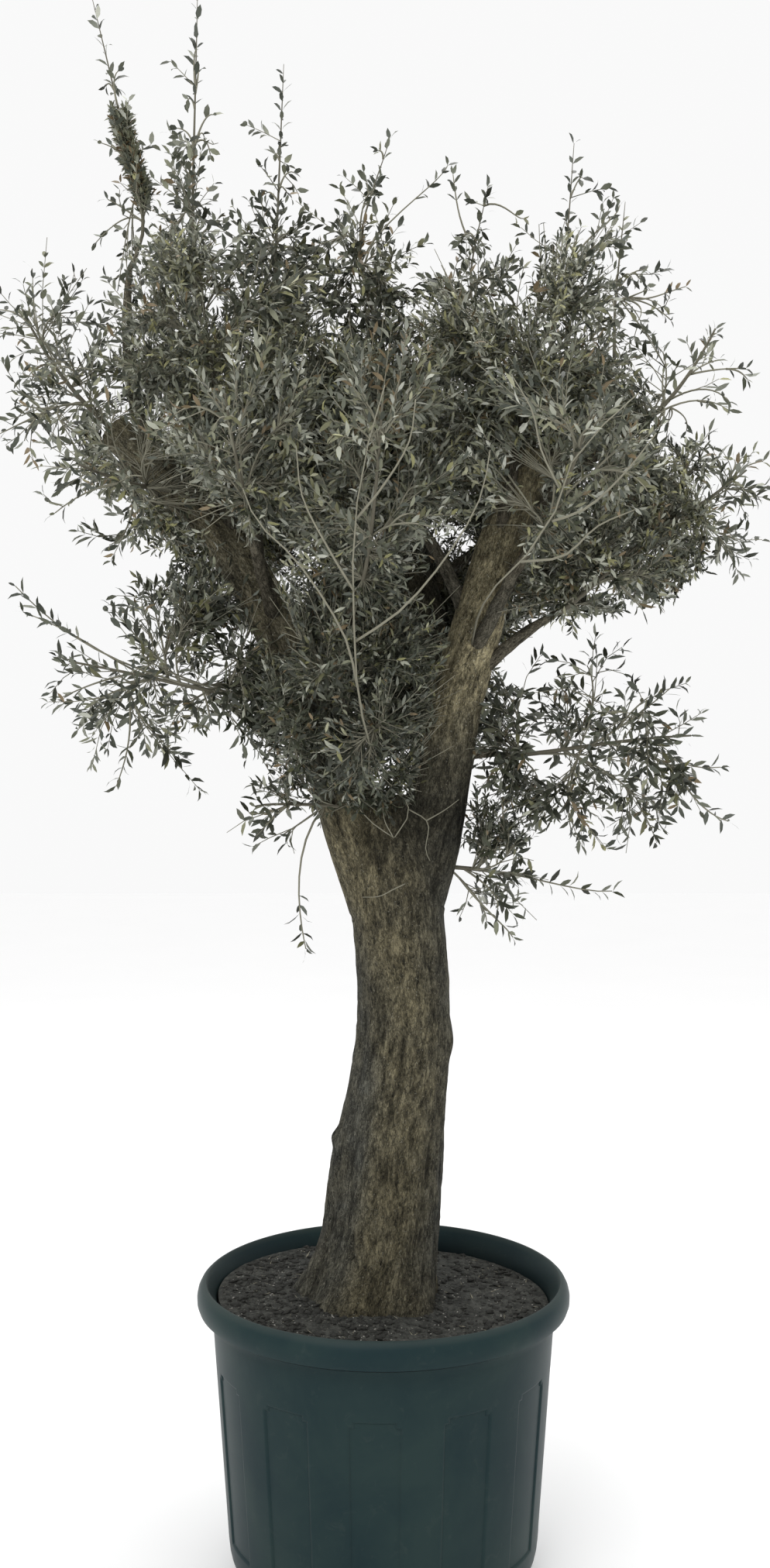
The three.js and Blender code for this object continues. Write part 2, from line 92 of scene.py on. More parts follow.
# The three sawn boughs: the radii of foot and sawn tip, sides, and axis.
BOUGHS = {
    "left": (
        (76, 42),
        24,
        ((-8, 5, 1500), (-58, 5, 1640), (-106, 10, 1790), (-185, 20, 2010)),
        ((-285, 40, 2210), (-400, 60, 2390), (-520, 70, 2510), (-650, 80, 2630)),
    ),
    "right": (
        (76, 49),
        24,
        ((64, 0, 1500), (106, 0, 1640), (136, 0, 1800), (165, 0, 1960)),
        ((212, 0, 2120), (260, 0, 2290), (306, 0, 2420), (350, 0, 2555)),
    ),
    "back": (
        (62, 36),
        20,
        ((50, 30, 1500), (104, 118, 1660), (138, 205, 1880)),
        ((120, 290, 2160), (70, 370, 2440), (40, 430, 2640)),
    ),
}

# The masses of foliage: centre, half sizes, what carries them and where along it, how strongly the
# stem inside turns upwards, how full of leaves it is, and how its shoots lift (droop below 0).
MASSES = {
    "far_left": ((-770, 0, 2725), (165, 230, 265), "left", 1, 1.0, 0.12, 0.6),
    "spire_left": ((-641, 50, 3290), (112, 130, 390), "left", 0.905, 3, 0.02, 0.9),
    "crest_left": ((-432, -50, 3240), (122, 140, 415), "left", 0.78, 3, 0.14, 0.9),
    "crest_mid_left": ((-262, 120, 3170), (122, 140, 330), "left", 0.59, 3, 0.24, 0.9),
    "crown_left": ((-400, -150, 2770), (260, 260, 225), "left", 0.67, 1.2, 0.2, 0.8),
    "shoulder_left": ((-590, -130, 2450), (220, 210, 200), "left", 0.84, 0.2, 0.045, 0.3),
    "lower_left": ((-490, 0, 2020), (310, 270, 265), "left", 0.37, 0.0, 0.16, 0.05),
    "knot_left": ((-252, -130, 1735), (95, 110, 125), "trunk", 0.97, -0.4, 0.15, -0.6),
    "front_left": ((-300, -440, 2410), (210, 200, 210), "left", 0.51, 0.7, 0.15, 0.8),
    "back_left": ((-480, 440, 2600), (330, 270, 310), "left", 0.72, 0.6, 0.07, 0.5),
    "heart": ((-95, -230, 1930), (205, 180, 260), "trunk", 0.93, 1.4, 0.3, 0.5),
    "front_centre": ((-20, -430, 2290), (230, 200, 320), "left", 0.3, 1.6, 0.2, 0.8),
    "centre": ((-50, 0, 2600), (230, 240, 240), "right", 0.58, 1.0, 0.2, 0.8),
    "crest_centre": ((-36, -60, 2985), (150, 180, 320), "back", 0.8, 2.5, 0.06, 0.8),
    "back_centre": ((10, 560, 2830), (290, 250, 310), "back", 1, 1.2, 0.12, 0.6),
    "back_low": ((90, 480, 2150), (280, 230, 260), "back", 0.51, 0.3, 0.2, 0.0),
    "crest_mid_right": ((205, 100, 3010), (152, 170, 300), "right", 0.88, 2.5, 0.2, 0.8),
    "crest_right": ((452, -50, 3000), (150, 170, 310), "right", 1, 2.5, 0.03, 0.8),
    "crest_far_right": ((640, 150, 2930), (145, 160, 250), "right", 0.85, 2, 0.02, 0.7),
    "crown_right": ((330, -190, 2700), (230, 230, 215), "right", 0.72, 1.2, 0.15, 0.8),
    "shoulder_right": ((715, 0, 2720), (190, 220, 210), "right", 0.78, 0.8, 0.01, 0.5),
    "far_right": ((735, -30, 2420), (190, 220, 210), "right", 0.65, 0.3, 0.08, 0.3),
    "front_right": ((380, -440, 2380), (220, 200, 210), "right", 0.51, 0.7, 0.15, 0.8),
    "under_right": ((500, -120, 2250), (200, 200, 160), "right", 0.45, 0.0, 0.14, -0.1),
    "back_right": ((500, 440, 2600), (320, 270, 310), "back", 0.67, 0.6, 0.06, 0.5),
    "lower_right": ((490, 0, 1880), (290, 260, 275), "right", 0.31, -0.1, 0.15, -0.4),
    "knot_right": ((250, -10, 1580), (110, 120, 185), "trunk", 0.86, -0.3, 0.14, -0.5),
}
SIDE_BOUGH = {"root": 21 * MM, "tip": 10 * MM, "least": 45 * MM, "into": 0.82}
FIRST_SEED = 1000
SEED_STEP = 37

# ---------------------------------------------------------------- sizes of the finer growth

# The crown's dense body: centre and half sizes of each part. Past it the growth is open.
BODY = (
    ((22, 40, 2475), (590, 640, 375)),
    ((-285, 0, 2685), (330, 340, 225)),
    ((150, 0, 2650), (240, 340, 210)),
    ((-30, 20, 2050), (270, 390, 400)),
    ((575, 0, 2370), (185, 300, 190)),
    ((268, 0, 1722), (100, 170, 95)),
    ((-630, 20, 2530), (88, 200, 95)),
)
BODY_POWER = 2.6
BODY_EDGE = (0.9, 1.1)  # depths where the growth begins and ends to open
RAGGED = (2.7, 2.82)  # between these heights the body's top turns ragged
RAGGED_BY, RAGGED_MIDDLE, RAGGED_FOLD = 1.3, 0.58, 50 * MM  # how strongly, and its folds' middle and width
HEART_SHARE = (1.0, 0.5)  # of the growth is left deep inside the body, low and high in it
HEART_RANGE = (2.45, 2.65)
HEART_DEPTH = (0.3, 0.6)
OPEN_PATCH, CLOSED_PATCH = 100 * MM, 70 * MM  # across the tufts that the growth gathers in
FRONT = (-0.3, -0.5)  # between these depths the front growth thins out to bare twigs with few leaves
FRONT_TOP = (2.72, 2.92)  # and between these heights it doesn't
FRONT_SHARE = 0.10

# The leaders: where each crest's growth narrows, and where its leader runs and ends, sideways and up.
LEADERS = {
    "spire_left": ((-566, 3090), (-631, 3392), (-694, 3655)),
    "crest_left": ((-447, 3030), (-441, 3634)),
    "crest_mid_left": ((-255, 3000), (-236, 3480)),
    "crest_centre": ((-55, 3040), (14, 3300)),
    "crest_mid_right": ((205, 2960), (246, 3185)),
    "crest_right": ((425, 3000), (450, 3290)),
    "crest_far_right": ((545, 2900), (570, 3150)),
}
# Single shoots that reach out past the rest: where each ends, sideways and up.
TIPS = {
    "far_left": ((-902, 2893), (-900, 2599)),
    "crest_centre": ((152, 3238),),
    "crest_mid_right": ((164, 3215), (330, 3110)),
    "crest_right": ((557, 3142),),
    "crest_far_right": ((711, 2948),),
    "shoulder_right": ((783, 2837), (855, 2727)),
    "far_right": ((890, 2534), (834, 2343), (679, 2206)),
    "lower_right": ((785, 1816), (802, 1690)),
    "knot_right": ((300, 1421), (531, 1528)),
    "lower_left": ((-861, 2240), (-842, 2179), (-750, 1979), (-622, 1771)),
    "knot_left": ((-297, 1654), (-180, 1394)),
}
# Bare twigs on the front of the trunk's fork: sideways, depth, up.
FORK_TWIGS = (
    (
        (24, -98, 1652),
        (-30, -128, 1690),
        (-83, -140, 1751),
        (-112, -150, 1780),
        (-157, -165, 1824),
        (-154, -175, 1859),
    ),
    ((22, -104, 1654), (2, -122, 1694), (-2, -130, 1741)),
    ((26, -100, 1653), (59, -128, 1712), (37, -136, 1760), (-14, -140, 1780), (-83, -150, 1790)),
    ((59, -128, 1718), (103, -125, 1687), (98, -122, 1623), (108, -118, 1598)),
    ((100, -126, 1692), (142, -122, 1716), (176, -120, 1741)),
    ((-100, -146, 1770), (-52, -165, 1835), (-34, -172, 1897), (-24, -175, 1950)),
    ((-112, -150, 1782), (-170, -170, 1800), (-215, -190, 1850)),
    ((50, -112, 1545), (19, -124, 1530), (-9, -122, 1516), (-49, -108, 1514)),
)
# Bare twigs that fan out before the crown, from the crotch and from the right bough.
FRONT_TWIGS = (
    (
        (5, -75, 1735),
        (-35, -300, 1880),
        (-61, -450, 1997),
        (-70, -530, 2184),
        (-72, -550, 2297),
        (-52, -560, 2505),
        (3, -560, 2714),
    ),
    ((-61, -455, 2005), (-90, -510, 2120), (-202, -530, 2297), (-296, -520, 2392), (-330, -500, 2470)),
    ((-66, -500, 2110), (41, -540, 2184), (153, -560, 2317), (227, -560, 2449), (250, -540, 2560)),
    ((-70, -540, 2230), (-130, -560, 2330), (-190, -560, 2450), (-205, -540, 2570)),
    ((-62, -555, 2400), (-5, -570, 2470), (60, -570, 2580), (75, -550, 2680)),
    (
        (205, -50, 2100),
        (225, -300, 2180),
        (262, -440, 2240),
        (321, -500, 2297),
        (395, -530, 2392),
        (415, -540, 2487),
        (497, -540, 2600),
        (600, -520, 2696),
    ),
    ((395, -530, 2392), (470, -530, 2420), (560, -510, 2500), (640, -480, 2600)),
    ((412, -540, 2470), (370, -560, 2560), (350, -560, 2650), (300, -540, 2740)),
    ((321, -500, 2297), (420, -520, 2310), (500, -500, 2380), (590, -470, 2420)),
)
LEADER_WIDTH = (95 * MM, 24 * MM)  # of the growth round a leader, at its foot and its tip
LEADER_BUSHY = 0.5  # of a leader's height is bushy, and the rest thin
SPIKE_HEIGHT, SPIKE_FOLD = 200 * MM, 45 * MM  # of the shoots above the crests' waists
SPIKE_RANGE = (0.45, 0.80)  # of the folds' noise
# The dense column round the left spire's stem.
SPIRE = "spire_left"
COLUMN_WIDTH, COLUMN_FOOT, COLUMN_TOP = 19 * MM, 3130 * MM, 3350 * MM
COLUMN_SHOOTS = 170
CROWDING = {"heart": 1.8, "centre": 1.6, "back_low": 1.9}  # where the growth is fuller than elsewhere

TWIG_ROOM = (5 * MM, 11 * MM)  # of a mass's mean half size to each twig, and of a front mass's
SHOOTS = 17500  # to a cubic metre where the growth is fullest
SPREAD = 1.4  # how far past its own space a mass fills gaps inside the body
BORDER = 12 * MM  # how far shoots cross the border between two masses
SHOOT_REACH = (28 * MM, 85 * MM)  # from the twig out
PAIR_ROOM = (26 * MM, 13 * MM)  # between the pairs of leaves on a shoot, in the open and in the body
LEAF_LENGTH = (16 * MM, 27 * MM)
LEAF_WIDTH = 0.27  # of the length
# Leaves in the open: their size by height, and how much broader they are high up.
OPEN_LEAF = ((2.6, 2.9), (1.5, 1.2))
OPEN_BREADTH = ((2.7, 3.0), (0, 0.4))
CLOSED_LEAF = 0.9
STEM_RADII = (7 * MM, 2.5 * MM)
TWIG_RADII = (2.8 * MM, 1.2 * MM)
SHOOT_RADII = (1.5 * MM, 0.8 * MM)
CAMERA_PLACE = (0.0035, -3.16, 1.683)
CAMERA_PITCH = math.radians(91.70)
CAMERA_LENS = 31.18
EYE = np.array(CAMERA_PLACE)
SKY_STRENGTH = 0.95
LAMPS = (  # name, place, size, power
    ("key", (-2.2, -4.4, 6.0), 3.5, 120),
    ("top", (0.4, 0.6, 6.8), 4.0, 170),
)
FLOOR_GLOW = 0.15  # so that the floor meets the white surroundings without a line
TWIG_CLEAR, SHOOT_CLEAR, LEAF_CLEAR = 4 * MM, 5 * MM, 1 * MM  # from the limbs
ROOM_FROM_TWIG = 150 * MM  # that a shoot may start from a twig
LEAST_TWIG, LEAST_SHOOT = 50 * MM, 30 * MM
WOOD_VOXEL, QUICK_WOOD_VOXEL = 5 * MM, 6 * MM
TRUNK_BURIED = 30 * MM
TRUNK_SIDES = 40
LIMB_RINGS = 22
BLOCK = 20000  # vertices of the wood handled at once
# The bark's plates, strips, chips and swells: across twice, and along the limb.
PLATE, STRIP, CHIP, SWELL = (30, 30, 150), (11, 11, 70), (6, 6, 30), (90, 90, 260)
BARK_DEPTH, SWELL_DEPTH = 9 * MM, 10 * MM
# The bare stretches of the sawn boughs: bough, from, to, half width, share of the leaves gone.
LIGHT_GAPS = (("right", 0.25, 0.98, 0.06, 0.93), ("left", 0.5, 0.99, 0.05, 0.88))
GAP_EDGE = 12 * MM  # over which the leaves thin out beside a bare stretch
TINTS = ("shade", "dark", "grey", "olive", "sage", "silver", "fresh", "dry")
# The share of the leaves that have each tint, in light, in shade and in the spire's column.
LIT_SHARES = np.array((0.16, 0.15, 0.10, 0.16, 0.13, 0.17, 0.10, 0.03))
SHADED_SHARES = np.array((0.40, 0.31, 0.13, 0.07, 0.03, 0.02, 0.01, 0.03))
SHADED = (1.9, 2.4)  # the shaded mix below the first height gives way to the lit one above the second
COLUMN_MIX = np.array((0.15, 0.20, 0.0, 0.40, 0.0, 0.0, 0.03, 0.22))
# In the open this much of the lit mix is shaded, by height.
OPEN_SHADE = ((2.7, 3.1), (0.65, 0.95))


def metres(point):
    return np.array(point, float) * MM


def unit(v):
    return v / np.maximum(np.linalg.norm(v, axis=-1, keepdims=True), 1e-12)


def slope(value, start, end):
    """0 before `start`, 1 past `end`, and even between them. The end may be the lower of the two."""
    return np.clip((value - start) / (end - start), 0, 1)


def hill(value, middle, width):
    """1 at the middle, falling to 0 on both sides."""
    return np.exp(-(((value - middle) / width) ** 2))


# ---------------------------------------------------------------- building by hand


def only_select(*pieces):
    """Selects just these pieces, and makes the last of them the active one."""
    if bpy.context.object and bpy.context.object.mode != "OBJECT":
        bpy.ops.object.mode_set(mode="OBJECT")
    bpy.ops.object.select_all(action="DESELECT")
    for piece in pieces:
        piece.select_set(True)
        bpy.context.view_layer.objects.active = piece


def start_piece(name):
    """Names the primitive just added and opens it for editing with all of it selected."""
    piece = bpy.context.object
    piece.name = piece.data.name = name
    bpy.ops.object.transform_apply(location=True, rotation=True, scale=True)
    bpy.ops.object.mode_set(mode="EDIT")
    bpy.ops.mesh.select_all(action="SELECT")
    return piece


def start_ring(name, sides, radius, place, turn=(0, 0, 0), fill="NGON"):
    """Opens a new round piece, to be drawn out from there."""
    only_select()
    bpy.ops.mesh.primitive_circle_add(
        vertices=sides, radius=radius, fill_type=fill, location=place, rotation=turn
    )
    return start_piece(name)


def close_piece(faces_out=True):
    if faces_out:
        bpy.ops.mesh.select_all(action="SELECT")
        bpy.ops.mesh.normals_make_consistent(inside=False)
    bpy.ops.object.mode_set(mode="OBJECT")


def apply_modifier(piece, kind, **settings):
    only_select(piece)
    modifier = piece.modifiers.new(kind.title(), kind)
    for key, value in settings.items():
        setattr(modifier, key, value)
    bpy.ops.object.modifier_apply(modifier=modifier.name)


def select_faces(piece, wanted):
    """In edit mode, selects just the faces whose centre and normal `wanted` accepts."""
    bpy.ops.mesh.select_all(action="DESELECT")
    bpy.ops.object.mode_set(mode="OBJECT")
    for face in piece.data.polygons:
        face.select = wanted(face.center, face.normal)
    bpy.ops.object.mode_set(mode="EDIT")
    bpy.context.tool_settings.mesh_select_mode = (False, False, True)


def smooth_by_angle(piece, degrees):
    only_select(piece)
    bpy.ops.object.shade_smooth_by_angle(angle=math.radians(degrees))


def vertices_of(piece):
    co = np.zeros(len(piece.data.vertices) * 3)
    piece.data.vertices.foreach_get("co", co)
    return co.reshape(-1, 3)


def move_vertices(piece, co):
    piece.data.vertices.foreach_set("co", co.ravel())
    piece.data.update()


def finish_piece(piece, material, slot, *nodes):
    piece.data.materials.clear()
    piece.data.materials.append(material)
    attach(piece, "root")
    if nodes:
        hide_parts(*nodes)


# ---------------------------------------------------------------- shader groups


def new_group(name, inputs, outputs):
    """A shader node group with its sockets, and its input and output nodes."""
    group = bpy.data.node_groups.new(name, "ShaderNodeTree")
    for label, kind, default in inputs:
        socket = group.interface.new_socket(label, in_out="INPUT", socket_type=kind)
        if default is not None:
            socket.default_value = default
    for label, kind in outputs:
        group.interface.new_socket(label, in_out="OUTPUT", socket_type=kind)
    return group, group.nodes.new("NodeGroupInput"), group.nodes.new("NodeGroupOutput")


def add_node(tree, kind, values=None, **settings):
    node = tree.nodes.new(kind)
    for key, value in settings.items():
        setattr(node, key, value)
    for key, value in (values or {}).items():
        node.inputs[key].default_value = value
    return node


def ramp(tree, source, stops):
    node = add_node(tree, "ShaderNodeValToRGB")
    elements = node.color_ramp.elements
    while len(elements) < len(stops):
        elements.new(0.5)
    for element, (place, value) in zip(elements, stops):
        element.position = place
        element.color = (*value, 1) if isinstance(value, tuple) else (value, value, value, 1)
    tree.links.new(source, node.inputs["Fac"])
    return node.outputs["Color"]


def noise(tree, vector, scale, detail, roughness=0.55, distortion=0.0):
    values = {"Scale": scale, "Detail": detail, "Roughness": roughness, "Distortion": distortion}
    node = add_node(tree, "ShaderNodeTexNoise", values)
    tree.links.new(vector, node.inputs["Vector"])
    return node.outputs["Fac"]


def blend_colours(tree, factor, first, second, how="MIX"):
    node = add_node(tree, "ShaderNodeMix", data_type="RGBA", blend_type=how)
    for socket, value in (("Factor", factor), ("A", first), ("B", second)):
        target = [s for s in node.inputs if s.name == socket and s.enabled][0]
        if hasattr(value, "links"):
            tree.links.new(value, target)
        else:
            target.default_value = (*value, 1) if isinstance(value, tuple) else value
    return [s for s in node.outputs if s.enabled][0]


def arithmetic(tree, how, *values, clamp=False):
    node = add_node(tree, "ShaderNodeMath", operation=how, use_clamp=clamp)
    for index, value in enumerate(values):
        if hasattr(value, "links"):
            tree.links.new(value, node.inputs[index])
        else:
            node.inputs[index].default_value = value
    return node.outputs[0]


def weathering_group():
    """Blotches and fine specks of dust and scuffs. Out: a mask of each."""
    group, given, result = new_group(
        "weathering",
        [
            ("Vector", "NodeSocketVector", None),
            ("Blotch Scale", "NodeSocketFloat", 6.0),
            ("Speck Scale", "NodeSocketFloat", 160.0),
        ],
        [("Blotches", "NodeSocketFloat"), ("Specks", "NodeSocketFloat"), ("Height", "NodeSocketFloat")],
    )
    blotch = add_node(group, "ShaderNodeTexNoise", {"Detail": 5.0, "Roughness": 0.6, "Distortion": 0.4})
    speck = add_node(group, "ShaderNodeTexNoise", {"Detail": 3.0, "Roughness": 0.7})
    for node, scale in ((blotch, "Blotch Scale"), (speck, "Speck Scale")):
        group.links.new(given.outputs["Vector"], node.inputs["Vector"])
        group.links.new(given.outputs[scale], node.inputs["Scale"])
    blotches = ramp(group, blotch.outputs["Fac"], [(0.38, 0.0), (0.62, 1.0)])
    specks = ramp(group, speck.outputs["Fac"], [(0.6, 0.0), (0.74, 1.0)])
    height = arithmetic(group, "MULTIPLY", speck.outputs["Fac"], 0.5)
    group.links.new(blotches, result.inputs["Blotches"])
    group.links.new(specks, result.inputs["Specks"])
    group.links.new(height, result.inputs["Height"])
    return group


def fissure_group():
    """The fine upright strands and cracks of bark, in a space that runs along the limb."""
    group, given, result = new_group(
        "bark_fissures",
        [("Grain", "NodeSocketVector", None), ("Scale", "NodeSocketFloat", 1.0)],
        [("Strands", "NodeSocketFloat"), ("Cracks", "NodeSocketFloat"), ("Height", "NodeSocketFloat")],
    )
    drawn_out = add_node(group, "ShaderNodeVectorMath", operation="MULTIPLY")
    drawn_out.inputs[1].default_value = (1.0, 1.0, 0.42)
    scaled = add_node(group, "ShaderNodeVectorMath", operation="SCALE")
    group.links.new(given.outputs["Grain"], drawn_out.inputs[0])
    group.links.new(drawn_out.outputs[0], scaled.inputs[0])
    group.links.new(given.outputs["Scale"], scaled.inputs["Scale"])
    vector = scaled.outputs[0]
    fine = noise(group, vector, 210.0, 6.0, 0.75, 0.8)
    broad = noise(group, vector, 48.0, 3.0, 0.6, 0.6)
    broad_part = arithmetic(group, "MULTIPLY", broad, 0.35)
    strands = arithmetic(group, "MULTIPLY_ADD", fine, 0.65, broad_part)
    veins = noise(group, vector, 95.0, 3.0, 0.6, 1.0)
    off = arithmetic(group, "ABSOLUTE", arithmetic(group, "SUBTRACT", veins, 0.5))
    cracks = ramp(group, off, [(0.0, 0.35), (0.03, 1.0)])
    height = arithmetic(group, "MULTIPLY_ADD", cracks, 0.25, strands)
    group.links.new(strands, result.inputs["Strands"])
    group.links.new(cracks, result.inputs["Cracks"])
    group.links.new(height, result.inputs["Height"])
    return group


WEATHERING = weathering_group()
FISSURES = fissure_group()


def new_material(name, roughness, gloss=0.2):
    material = bpy.data.materials.new(name)
    material.use_nodes = True
    tree = material.node_tree
    shader = tree.nodes["Principled BSDF"]
    shader.inputs["Roughness"].default_value = roughness
    shader.inputs["Specular IOR Level"].default_value = gloss
    return material, tree, shader


def place_group(tree, group, values=None):
    node = add_node(tree, "ShaderNodeGroup", node_tree=group)
    for key, value in (values or {}).items():
        if hasattr(value, "links"):
            tree.links.new(value, node.inputs[key])
        else:
            node.inputs[key].default_value = value
    return node


def object_vector(tree):
    return add_node(tree, "ShaderNodeTexCoord").outputs["Object"]


def attribute(tree, name, output="Fac"):
    return add_node(tree, "ShaderNodeAttribute", attribute_name=name).outputs[output]


def bump(tree, shader, height, strength, distance):
    node = add_node(tree, "ShaderNodeBump", {"Strength": strength, "Distance": distance})
    tree.links.new(height, node.inputs["Height"])
    tree.links.new(node.outputs["Normal"], shader.inputs["Normal"])


def pot_plastic():
    """Dark blue-green moulded plastic, cloudy, faintly scuffed, dusty on its lip, and darkened inside by
    painted shade.
    """
    material, tree, shader = new_material("pot_plastic", 0.5, 0.1)
    vector = object_vector(tree)
    worn = place_group(tree, WEATHERING, {"Vector": vector, "Blotch Scale": 4.0, "Speck Scale": 240.0})
    plain, paler_tone = (0.0100, 0.0242, 0.0272), (0.0172, 0.0340, 0.0335)
    cloudy = blend_colours(tree, worn.outputs["Blotches"], plain, paler_tone)
    place = add_node(tree, "ShaderNodeSeparateXYZ")
    tree.links.new(vector, place.inputs[0])
    height = arithmetic(tree, "DIVIDE", place.outputs["Z"], POT_HEIGHT)
    lip = ramp(tree, height, [(0.982, 0.0), (0.998, 1.0)])
    scuffs = noise(tree, vector, 28.0, 5.0, 0.7, 1.2)
    scuffed = ramp(tree, scuffs, [(0.58, 0.0), (0.7, 1.0)])
    dusty = arithmetic(tree, "MULTIPLY", lip, 0.35)
    faint = arithmetic(tree, "MULTIPLY", scuffed, 0.14)
    dust = arithmetic(tree, "MAXIMUM", dusty, faint, clamp=True)
    colour = blend_colours(tree, dust, cloudy, (0.062, 0.075, 0.068))
    faces = add_node(tree, "ShaderNodeNewGeometry").outputs["Normal"]
    outward = add_node(tree, "ShaderNodeVectorMath", operation="DOT_PRODUCT")
    tree.links.new(vector, outward.inputs[0])
    tree.links.new(faces, outward.inputs[1])
    facing = arithmetic(tree, "ADD", outward.outputs["Value"], 1.0)
    painted_inner_shade = ramp(tree, facing, [(0.7, 0.2), (0.95, 1.0)])  # painted shade: dark on the inside
    tree.links.new(blend_colours(tree, 1.0, colour, painted_inner_shade, "MULTIPLY"), shader.inputs["Base Color"])
    tree.links.new(arithmetic(tree, "MULTIPLY_ADD", dust, 0.3, 0.42), shader.inputs["Roughness"])
    bump(tree, shader, worn.outputs["Height"], 0.25, 0.0006)
    return material


def potting_soil():
    """Dark brown, crumbly soil."""
    material, tree, shader = new_material("potting_soil", 0.95)
    vector = object_vector(tree)
    worn = place_group(tree, WEATHERING, {"Vector": vector, "Blotch Scale": 9.0, "Speck Scale": 190.0})
    crumbs = noise(tree, vector, 48.0, 8.0, 0.8)
    base = ramp(
        tree,
        crumbs,
        [(0.34, (0.012, 0.012, 0.011)), (0.48, (0.034, 0.035, 0.031)), (0.66, (0.082, 0.083, 0.074))],
    )
    colour = blend_colours(tree, worn.outputs["Specks"], base, (0.15, 0.145, 0.12))
    tree.links.new(colour, shader.inputs["Base Color"])
    bump(tree, shader, crumbs, 0.35, 0.002)
    return material


def grit(name, colour, roughness=0.85):
    """A loose bit on the soil, of one plain colour with a faint mottle."""
    material, tree, shader = new_material(name, roughness)
    mottle = noise(tree, object_vector(tree), 60.0, 2.0)
    dark = tuple(0.72 * channel for channel in colour)
    tree.links.new(blend_colours(tree, mottle, dark, colour), shader.inputs["Base Color"])
    return material


def bark(name, grain_scale, dark, grey, tan, light, bump_strength):
    """Bark: strands that follow the limb between fine cracks, grey with tan stretches and pale flecks, with
    painted shade in the hollows of its relief and painted light where it is paler.
    """
    material, tree, shader = new_material(name, 0.9, 0.12)
    grain = attribute(tree, "grain", "Vector")
    fissures = place_group(tree, FISSURES, {"Grain": grain, "Scale": grain_scale})
    vector = object_vector(tree)
    worn = place_group(tree, WEATHERING, {"Vector": vector, "Blotch Scale": 9.0, "Speck Scale": 210.0})
    warmth = attribute(tree, "warmth")
    patchy = arithmetic(tree, "MULTIPLY_ADD", worn.outputs["Blotches"], 0.3, warmth, clamp=True)
    body = blend_colours(tree, patchy, grey, tan)
    shadow = ramp(tree, fissures.outputs["Strands"], [(0.37, 0.06), (0.49, 0.76), (0.62, 2.15)])
    stranded = blend_colours(tree, 1.0, body, shadow, "MULTIPLY")
    cracked = blend_colours(tree, fissures.outputs["Cracks"], dark, stranded)
    flecks = arithmetic(tree, "MULTIPLY", worn.outputs["Specks"], 0.7)
    flecked = blend_colours(tree, flecks, cracked, light)
    # Painted shade: darker where the bark's relief sinks in.
    painted_hollow_shade = ramp(tree, attribute(tree, "relief"), [(0.3, 0.4), (0.62, 1.08)])
    shaded_in_hollows = blend_colours(tree, 1.0, flecked, painted_hollow_shade, "MULTIPLY")
    # Painted light: the bark is lightened where its paleness attribute says, mostly on the sawn boughs.
    paler_tone = arithmetic(tree, "MULTIPLY_ADD", attribute(tree, "paleness_and_painted_light"), 1.7, 1.0)
    tree.links.new(blend_colours(tree, 1.0, shaded_in_hollows, paler_tone, "MULTIPLY"), shader.inputs["Base Color"])
    bump(tree, shader, fissures.outputs["Height"], bump_strength, 0.004)
    return material


def leaf(name, upper, under):
    """A leaf: one plain colour on its face and a paler one on its back."""
    material, tree, shader = new_material(name, 0.5, 0.35)
    back = add_node(tree, "ShaderNodeNewGeometry").outputs["Backfacing"]
    tree.links.new(blend_colours(tree, back, upper, under), shader.inputs["Base Color"])
    return material


def plain_floor():
    material, tree, shader = new_material("pale_floor", 0.9)
    faint = noise(tree, object_vector(tree), 0.8, 2.0)
    pale = blend_colours(tree, faint, (0.83, 0.83, 0.83), (0.86, 0.86, 0.86))
    tree.links.new(pale, shader.inputs["Base Color"])
    shader.inputs["Emission Color"].default_value = (1, 1, 1, 1)
    shader.inputs["Emission Strength"].default_value = FLOOR_GLOW
    return material


# ---------------------------------------------------------------- camera, floor and light


def studio():
    camera_data = bpy.data.cameras.new("camera")
    camera_data.lens = CAMERA_LENS
    camera_data.sensor_width = 36
    camera_data.sensor_fit = "AUTO"
    camera = bpy.data.objects.new("camera", camera_data)
    camera.location = CAMERA_PLACE
    camera.rotation_euler = (CAMERA_PITCH, 0, 0)
    bpy.context.scene.collection.objects.link(camera)
    bpy.context.scene.camera = camera

    only_select()
    bpy.ops.mesh.primitive_plane_add(size=60, location=(0, 0, POT_LOW.z - 0.5 * MM))
    floor = start_piece("floor")
    close_piece(faces_out=False)
    floor.data.materials.append(plain_floor())

    world = bpy.data.worlds.new("soft_daylight")
    world.use_nodes = True
    world.node_tree.nodes["Background"].inputs["Color"].default_value = (1, 1, 1, 1)
    world.node_tree.nodes["Background"].inputs["Strength"].default_value = SKY_STRENGTH
    bpy.context.scene.world = world
    for name, place, size, power in LAMPS:
        lamp = bpy.data.lights.new(name, "AREA")
        lamp.shape = "SQUARE"
        lamp.size = size
        lamp.energy = power
        lamp_object = bpy.data.objects.new(name, lamp)
        lamp_object.location = place
        aim = Vector((0, 0, 2.0)) - Vector(place)
        lamp_object.rotation_euler = aim.to_track_quat("-Z", "Y").to_euler()
        bpy.context.scene.collection.objects.link(lamp_object)
    bpy.context.scene.view_settings.view_transform = "Standard"


# ---------------------------------------------------------------- pot


def wall_radius(z):
    share = (z - FOOT_ROUND) / (POT_HEIGHT - LIP_HEIGHT - FOOT_ROUND)
    return BOTTOM_RADIUS + (TOP_RADIUS - BOTTOM_RADIUS) * share


def draw_up_rings(profile):
    """Extrudes the open ring that is selected through (radius, height) stations."""
    radius, height = profile[0]
    for next_radius, next_height in profile[1:]:
        rise = next_height - height
        bpy.ops.mesh.extrude_region_move(TRANSFORM_OT_translate={"value": (0, 0, rise)})
        share = next_radius / radius
        bpy.ops.transform.resize(value=(share, share, 1), center_override=(0, 0, next_height))
        radius, height = next_radius, next_height


